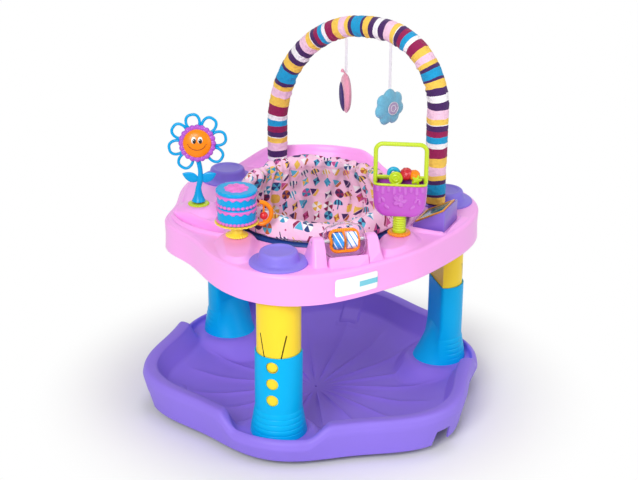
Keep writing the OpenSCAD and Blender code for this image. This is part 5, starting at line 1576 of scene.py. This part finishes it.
# Roller. A clear barrel with round ends turns on a steel axle between the ears; in it an orange frame
# holds a blue drum and a white drum with blue bands.
BARREL_HALF, BARREL_R, BARREL_END_R, BARREL_CORNER, BARREL_WALL, HUB_HOLE = 38, 36, 31, 12, 1.6, 4.3
FRAME_TILT, FRAME_CORNERS, FRAME_BEND = 62, ((8.5, 15.5), (-8.5, 15.5), (-8.5, -15.5), (8.5, -15.5)), 12
HUBS, DRUMS = (-27.5, 0, 27.5), (-13.75, 13.75)
HUB_RING_PROFILE = [(HUB_HOLE, -2.5), (7, -2.5), (7.8, -1.5), (7.8, 1.5), (7, 2.5), (HUB_HOLE, 2.5)]
DRUM_PROFILE = [(HUB_HOLE, -9.7), (14.6, -9.7), (15.8, -8.9), (16, -7.5), (16, 7.5), (15.8, 8.9), (14.6, 9.7),
                (HUB_HOLE, 9.7)]
clear_plastic, clear, clear_shader = bare_finish("clear_plastic")
clear_haze = mottle(clear, object_place(clear), 60)
clear_tone = blend_colour(clear, clear_haze, linear(250, 246, 252), linear(255, 252, 255))
fill_in(clear, clear_shader, {"Base Color": clear_tone, "Roughness": clear_haze * 0.05 + 0.02,
                              "Transmission Weight": 1.0, "Metallic": 0.0, "IOR": 1.12})


def at_roller(piece):
    """From an upright axis to the axle between the ears."""
    return stand(piece, (*ROLLER_AT, AXLE_Z), (0, 90, 0))


def barrel_outline(inset, corner):
    """Profile of the barrel from one end to the other, by an inset from its outside."""
    half, end_r = BARREL_HALF - inset, BARREL_END_R - inset
    lower = [(end_r - corner + corner * math.sin(a), -half + corner - corner * math.cos(a))
             for a in (math.radians(15 * k) for k in range(7))]
    belly = [(end_r + (BARREL_R - BARREL_END_R) * math.cos(math.pi / 2 * share), share * (half - corner))
             for share in (k / 6 for k in range(-5, 6))]
    return [(HUB_HOLE, -half)] + lower + belly + [(x, -z) for x, z in lower[::-1]] + [(HUB_HOLE, half)]


barrel_profile = barrel_outline(0, BARREL_CORNER) + barrel_outline(BARREL_WALL, BARREL_CORNER - 1.2)[::-1]
barrel_shell = smooth_but_edges(at_roller(lathe("barrel_shell", barrel_profile, clear_plastic, 128)), 50)
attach(barrel_shell, "roller")
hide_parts("roller_shell")

frame_path = []
for k, (y, z) in enumerate(FRAME_CORNERS):
    for a in (math.radians(90 * k + 7.5 * m) for m in range(13)):
        frame_path.append((0, y + FRAME_BEND * math.cos(a), z + FRAME_BEND * math.sin(a)))
frame_parts = [tube_along("frame_loop", frame_path, 3.3, toy_orange, 20, True),
               tube_along("frame_bar", [(0, -20, 0), (0, 20, 0)], 2.5, toy_orange, 16)]
for z in HUBS:
    frame_parts.append(stand(lathe("frame_hub", HUB_RING_PROFILE, toy_orange, 48), (0, 0, z)))
drum_frame = stand(joined("drum_frame", *frame_parts), (0, 0, 0), (0, 0, FRAME_TILT))
smooth_but_edges(at_roller(drum_frame), 50)
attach(drum_frame, "roller")
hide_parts("roller_frame")


def drum_bands(tree, place):
    """White bands slanting round the drums, wide on the right and narrow on the left."""
    x, _, z = axes(tree, place)
    band = ((z * 0.55 + x + 1) * 95).sums("FRACT")
    share = (x > ROLLER_AT[0] * MM) * 0.55 + 0.2
    return blend_colour(tree, band < share, linear(36, 138, 214), linear(240, 246, 252))


drum_paint = cloth("drum_paint", drum_bands, threads=300, depth=0.00002, rough=0.3, sheen=0.0)
drum_parts = [stand(lathe(f"drum_{z}", DRUM_PROFILE, drum_paint, 72), (0, 0, z)) for z in DRUMS]
roller_pair = smooth_but_edges(at_roller(joined("roller_pair", *drum_parts)), 50)
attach(roller_pair, "roller")
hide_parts("roller_drums")

# Fruit basket. A lime ridged post turns in an orange serrated socket and carries a glossy violet pouch
# with a raised blossom, and a lime rim, handle and rod.
basket_violet = plastic("basket_violet", linear(192, 84, 200), gloss=0.16, cloud=0.08, grain=1200, coat=0.6)
basket_orange = plastic("basket_orange", linear(246, 150, 30), gloss=0.3, cloud=0.05, grain=1200, coat=0.25)
refinish(lime_plastic, "basket_post")
BASKET_TURN, POUCH_FOOT, POUCH_HIGH, POUCH_HALF_WIDE, POUCH_HALF_DEEP = -20, 467.3, 66, 54, 23
POUCH_TOP, POUCH_FLOOR = POUCH_FOOT + POUCH_HIGH, POUCH_FOOT + 2.5
POUCH_CORNERS = ((1, 1), (-1, 1), (-1, -1), (1, -1))
BROAD_STEPS, NARROW_STEPS = 92, 16
BLOSSOM_Z, BLOSSOM_RISE, LEAF_RISE = POUCH_FOOT + 36, 3, 2.6
RIM_WIDE, RIM_DEEP, RIM_Z = 50.6, 19.8, 535.3
HANDLE_X, HANDLE_TOP, HANDLE_BEND, ROD_Z = 49.5, 612.8, 14, 546.3


def at_basket(piece):
    """From the basket's own frame to its place on the tray; heights are the tray's already."""
    return stand(piece, (*BASKET_AT, 0), (0, 0, BASKET_TURN))


COLLAR_PROFILE = [(14, 427.2, 0), (22, 427.2, 1), (22.4, 428.6, 1), (21.8, 431.4, 1), (19.5, 432.8, 0.3),
                  (15, 433, 0), (14, 432.4, 0)]
basket_collar = at_basket(wavy_lathe("basket_collar", COLLAR_PROFILE, basket_orange, ripple(26, 0.7), 288))
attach(basket_collar, "tray")
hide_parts("basket_socket")


def pouch_ring(height, inset):
    """Outline of the pouch at a height: wide and flat-sided above, drawn in and rounder below."""
    share = (height - POUCH_FOOT) / POUCH_HIGH
    low = max(0.0, 1 - share / 0.4)
    spread = ease(0, 0.9, share)
    half_wide = POUCH_HALF_WIDE * (0.95 + 0.05 * spread) - 24 * (1 - math.sqrt(1 - low ** 2)) - inset
    half_deep = POUCH_HALF_DEEP * (0.9 + 0.1 * spread) - 7 * (1 - math.sqrt(1 - low ** 4)) - inset
    corner = 0.6 * half_deep
    ring = []
    for k, (side_x, side_y) in enumerate(POUCH_CORNERS):
        middle_x, middle_y = side_x * (half_wide - corner), side_y * (half_deep - corner)
        for a in (math.radians(90 * k + 9 * m) for m in range(11)):
            ring.append((middle_x + corner * math.cos(a), middle_y + corner * math.sin(a)))
        x, y = ring[-1]
        next_x, next_y = POUCH_CORNERS[(k + 1) % 4]
        run_x, run_y = (next_x - side_x) * (half_wide - corner), (next_y - side_y) * (half_deep - corner)
        steps = NARROW_STEPS if k % 2 else BROAD_STEPS
        ring += [(x + run_x * m / steps, y + run_y * m / steps) for m in range(1, steps)]
    return ring


def blossom(x, z):
    """Raised flower, drops and leaves on the pouch's broad sides."""
    r, a = math.hypot(x, z - BLOSSOM_Z), math.atan2(z - BLOSSOM_Z, x)
    petal = 8.5 + 6.5 * abs(math.cos(2.5 * a))
    high = BLOSSOM_RISE * (1 - ease(petal - 2.2, petal, r)) * (0.55 + 0.45 * ease(2, 9, r))
    high += 1.4 * (1 - ease(2.4, 4, r))
    vein = math.exp(-(math.sin(2.5 * a) * r / 1.1) ** 2)
    high -= 0.8 * vein * ease(3.5, 6, r) * (1 - ease(petal - 3, petal, r))
    for k in range(9):
        drop = math.hypot(x + 44 - 11 * k, max(0, POUCH_TOP - 9 - 5 * (k % 2) - z))
        high = max(high, LEAF_RISE * (1 - ease(2.2, 3.8, drop)))
    for way in (-1, 1):
        for k in range(3):
            dx, dz = x - way * (25 + 7 * k), z - (POUCH_FOOT + 22 + 9 * (k % 2) + 6 * k)
            a = math.radians(way * (40 + 25 * k))
            along, across = dx * math.cos(a) + dz * math.sin(a), dz * math.cos(a) - dx * math.sin(a)
            high = max(high, LEAF_RISE * (1 - ease(0.6, 1.05, math.hypot(along / 6.5, across / 3.2))))
    return high


pouch_points, pouch_highlight = [], []
pouch_heights = [POUCH_FOOT + k for k in range(POUCH_HIGH + 1)]
for z in pouch_heights:
    for x, y in pouch_ring(z, 1.2):
        rise = blossom(x, z) * ease(11, 16, abs(y)) if z > POUCH_FOOT + 4 else 0
        pouch_points.append((x, y + math.copysign(rise, y), z))
        pouch_highlight.append(0.24 * min(1, rise))
for z in (max(z, POUCH_FLOOR) for z in pouch_heights[::-1]):
    pouch_points += [(x, y, z) for x, y in pouch_ring(z, 3.6)]
pouch_rows = 2 * len(pouch_heights)
pouch_faces = capped_faces(pouch_rows, len(pouch_points) // pouch_rows)
basket_pouch = at_basket(face_out(as_piece("basket_pouch", pouch_points, pouch_faces, basket_violet)))
# Painted highlight: the raised blossom, drops and leaves are painted a lighter violet, by up to a quarter.
raised = basket_pouch.data.attributes.new("raised", "FLOAT", "POINT")
raised.data.foreach_set("value", pouch_highlight + [0.0] * (len(basket_pouch.data.vertices) - len(pouch_highlight)))
raised_highlight_share = add_node(basket_violet.node_tree, "ShaderNodeAttribute", attribute_name="raised")
tint(basket_violet, raised_highlight_share.outputs["Fac"], linear(226, 148, 232))
smooth_but_edges(basket_pouch, 60)
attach(basket_pouch, "basket")
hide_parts("basket_shell")


def squarish(turn):
    """Point at a turn on a rounded square that reaches 1 each way."""
    return [math.copysign(abs(part) ** 0.36, part) for part in polar(1, turn)[:2]]


rim_loop = [(RIM_WIDE * u, RIM_DEEP * v, RIM_Z) for u, v in (squarish(2.25 * k) for k in range(160))]
hoop = [(-HANDLE_X, 0, 534.5), (-HANDLE_X, 0, 570), (-HANDLE_X, 0, HANDLE_TOP - 18)]
for u, v, _ in (polar(HANDLE_BEND, 9 * k) for k in range(11)):
    hoop.append((-HANDLE_X + HANDLE_BEND - u, 0, HANDLE_TOP - HANDLE_BEND + v))
hoop += [(0, 0, HANDLE_TOP)] + [(-x, y, z) for x, y, z in hoop[::-1]]
rod_path = [(-49, 0, ROD_Z), (49, 0, ROD_Z)]
basket_hoop = at_basket(joined("basket_hoop", tube_along("rim_loop", rim_loop, 2.6, lime_plastic, 14, True),
                               tube_along("hoop", hoop, 4.3, lime_plastic, 20),
                               tube_along("fruit_rod", rod_path, 2.4, lime_plastic, 16)))
smooth_but_edges(basket_hoop, 60)
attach(basket_hoop, "basket")
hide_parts("basket_handle")

# Fruit beads. A ring, a ridged lime slice, a faceted berry, an orange and a star fruit are pinned in a
# cluster on the rod and turn with it.
fruit_cyan = plastic("fruit_cyan", linear(10, 170, 214), gloss=0.24, cloud=0.05, grain=1500, coat=0.3)
fruit_red = plastic("fruit_red", linear(200, 18, 34), gloss=0.2, cloud=0.06, grain=1500, coat=0.4)
fruit_lime = plastic("fruit_lime", linear(190, 214, 20), gloss=0.24, cloud=0.05, grain=1500, coat=0.3)
SLICE_PROFILE = [(0, -3.4), (12.6, -3.4), (13.6, -2.4), (13.6, 2.2), (12.8, 3.2), (11, 3.4), (10, 2.2),
                 (7.6, 2.2), (6.8, 3.2), (4.6, 3.2), (3.8, 2.2), (2, 2.4), (0, 3.2)]
STAR_PROFILE = [(0, -4.4, 0), (7.4, -4.4, 1), (8.6, -3, 1), (8.6, 3, 1), (7.4, 4.4, 1), (0, 5, 0)]


def faceted(name, centre, radius, finish):
    """Cut-gem bead with flat faces and softened edges."""
    piece = shaped_ball(name, bmesh.ops.create_icosphere, centre, radius, finish, subdivisions=2)
    eased = piece.modifiers.new("eased", "BEVEL")
    eased.width, eased.segments = 0.0006, 2
    return smooth_but_edges(keep_shape(piece), 12)


lagoon_path = [(-14 + x, 3, 5.5 + z) for x, z, _ in (polar(9, 5.625 * k) for k in range(64))]
lime_slice = lathe("lime_slice", SLICE_PROFILE, fruit_lime, 72)
star_fruit = wavy_lathe("star_fruit", STAR_PROFILE, fruit_lime, ripple(5, 2.4), 160)
fruit_row = joined("fruit_row", tube_along("lagoon_ring", lagoon_path, 4.4, fruit_cyan, 20, True),
                   stand(lime_slice, (-9, -8, -1), (90, 0, 0)),
                   faceted("berry", (11, 0, 5.8), 13.4, fruit_red),
                   faceted("orange_fruit", (27, -1, 4), 11.4, toy_orange),
                   stand(star_fruit, (31, -7, -3), (90, 0, 20)))
at_basket(stand(fruit_row, (0, 0, ROD_Z)))
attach(fruit_row, "fruit")
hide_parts("fruit_beads")

# Picture wedge. A purple block with soft edges slopes up from the tray; an orange frame holds a dark
# teal press panel with a light play of bands.
wedge_purple = plastic("wedge_purple", linear(134, 108, 208), gloss=0.32, cloud=0.06, grain=1000, coat=0.15)
frame_amber = plastic("frame_amber", linear(246, 166, 40), gloss=0.3, cloud=0.05, grain=1200, coat=0.25)


def panel_bands(tree, place):
    """Slanting soft bands of teal."""
    x, y, _ = axes(tree, place)
    wave = ((x + y) * 230).sums("SINE")
    return blend_colour(tree, wave * 0.5 + 0.5, linear(14, 104, 128), linear(40, 150, 170))


panel_teal = cloth("panel_teal", panel_bands, threads=200, depth=0.00002, rough=0.16, sheen=0.0)
for node, body, finish, slot, round_by in (("wedge_housing", "tray", wedge_purple, "cap_plastic", 0.003),
                                           ("wedge_frame", "tray", frame_amber, "toy_orange", 0.0009),
                                           ("press_panel", "panel", panel_teal, "panel_teal", 0.0007)):
    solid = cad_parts[node]
    eased = bpy.data.objects.new(f"{node}_eased", solid.data.copy())
    bpy.context.collection.objects.link(eased)
    eased.matrix_world = solid.matrix_world
    eased.data.materials.clear()
    eased.data.materials.append(finish)
    face_out(eased)
    soft_edge = eased.modifiers.new("soft_edge", "BEVEL")
    soft_edge.width, soft_edge.segments, soft_edge.limit_method = round_by, 4, "ANGLE"
    smooth_but_edges(keep_shape(eased), 35)
    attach(eased, body)
    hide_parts(node)
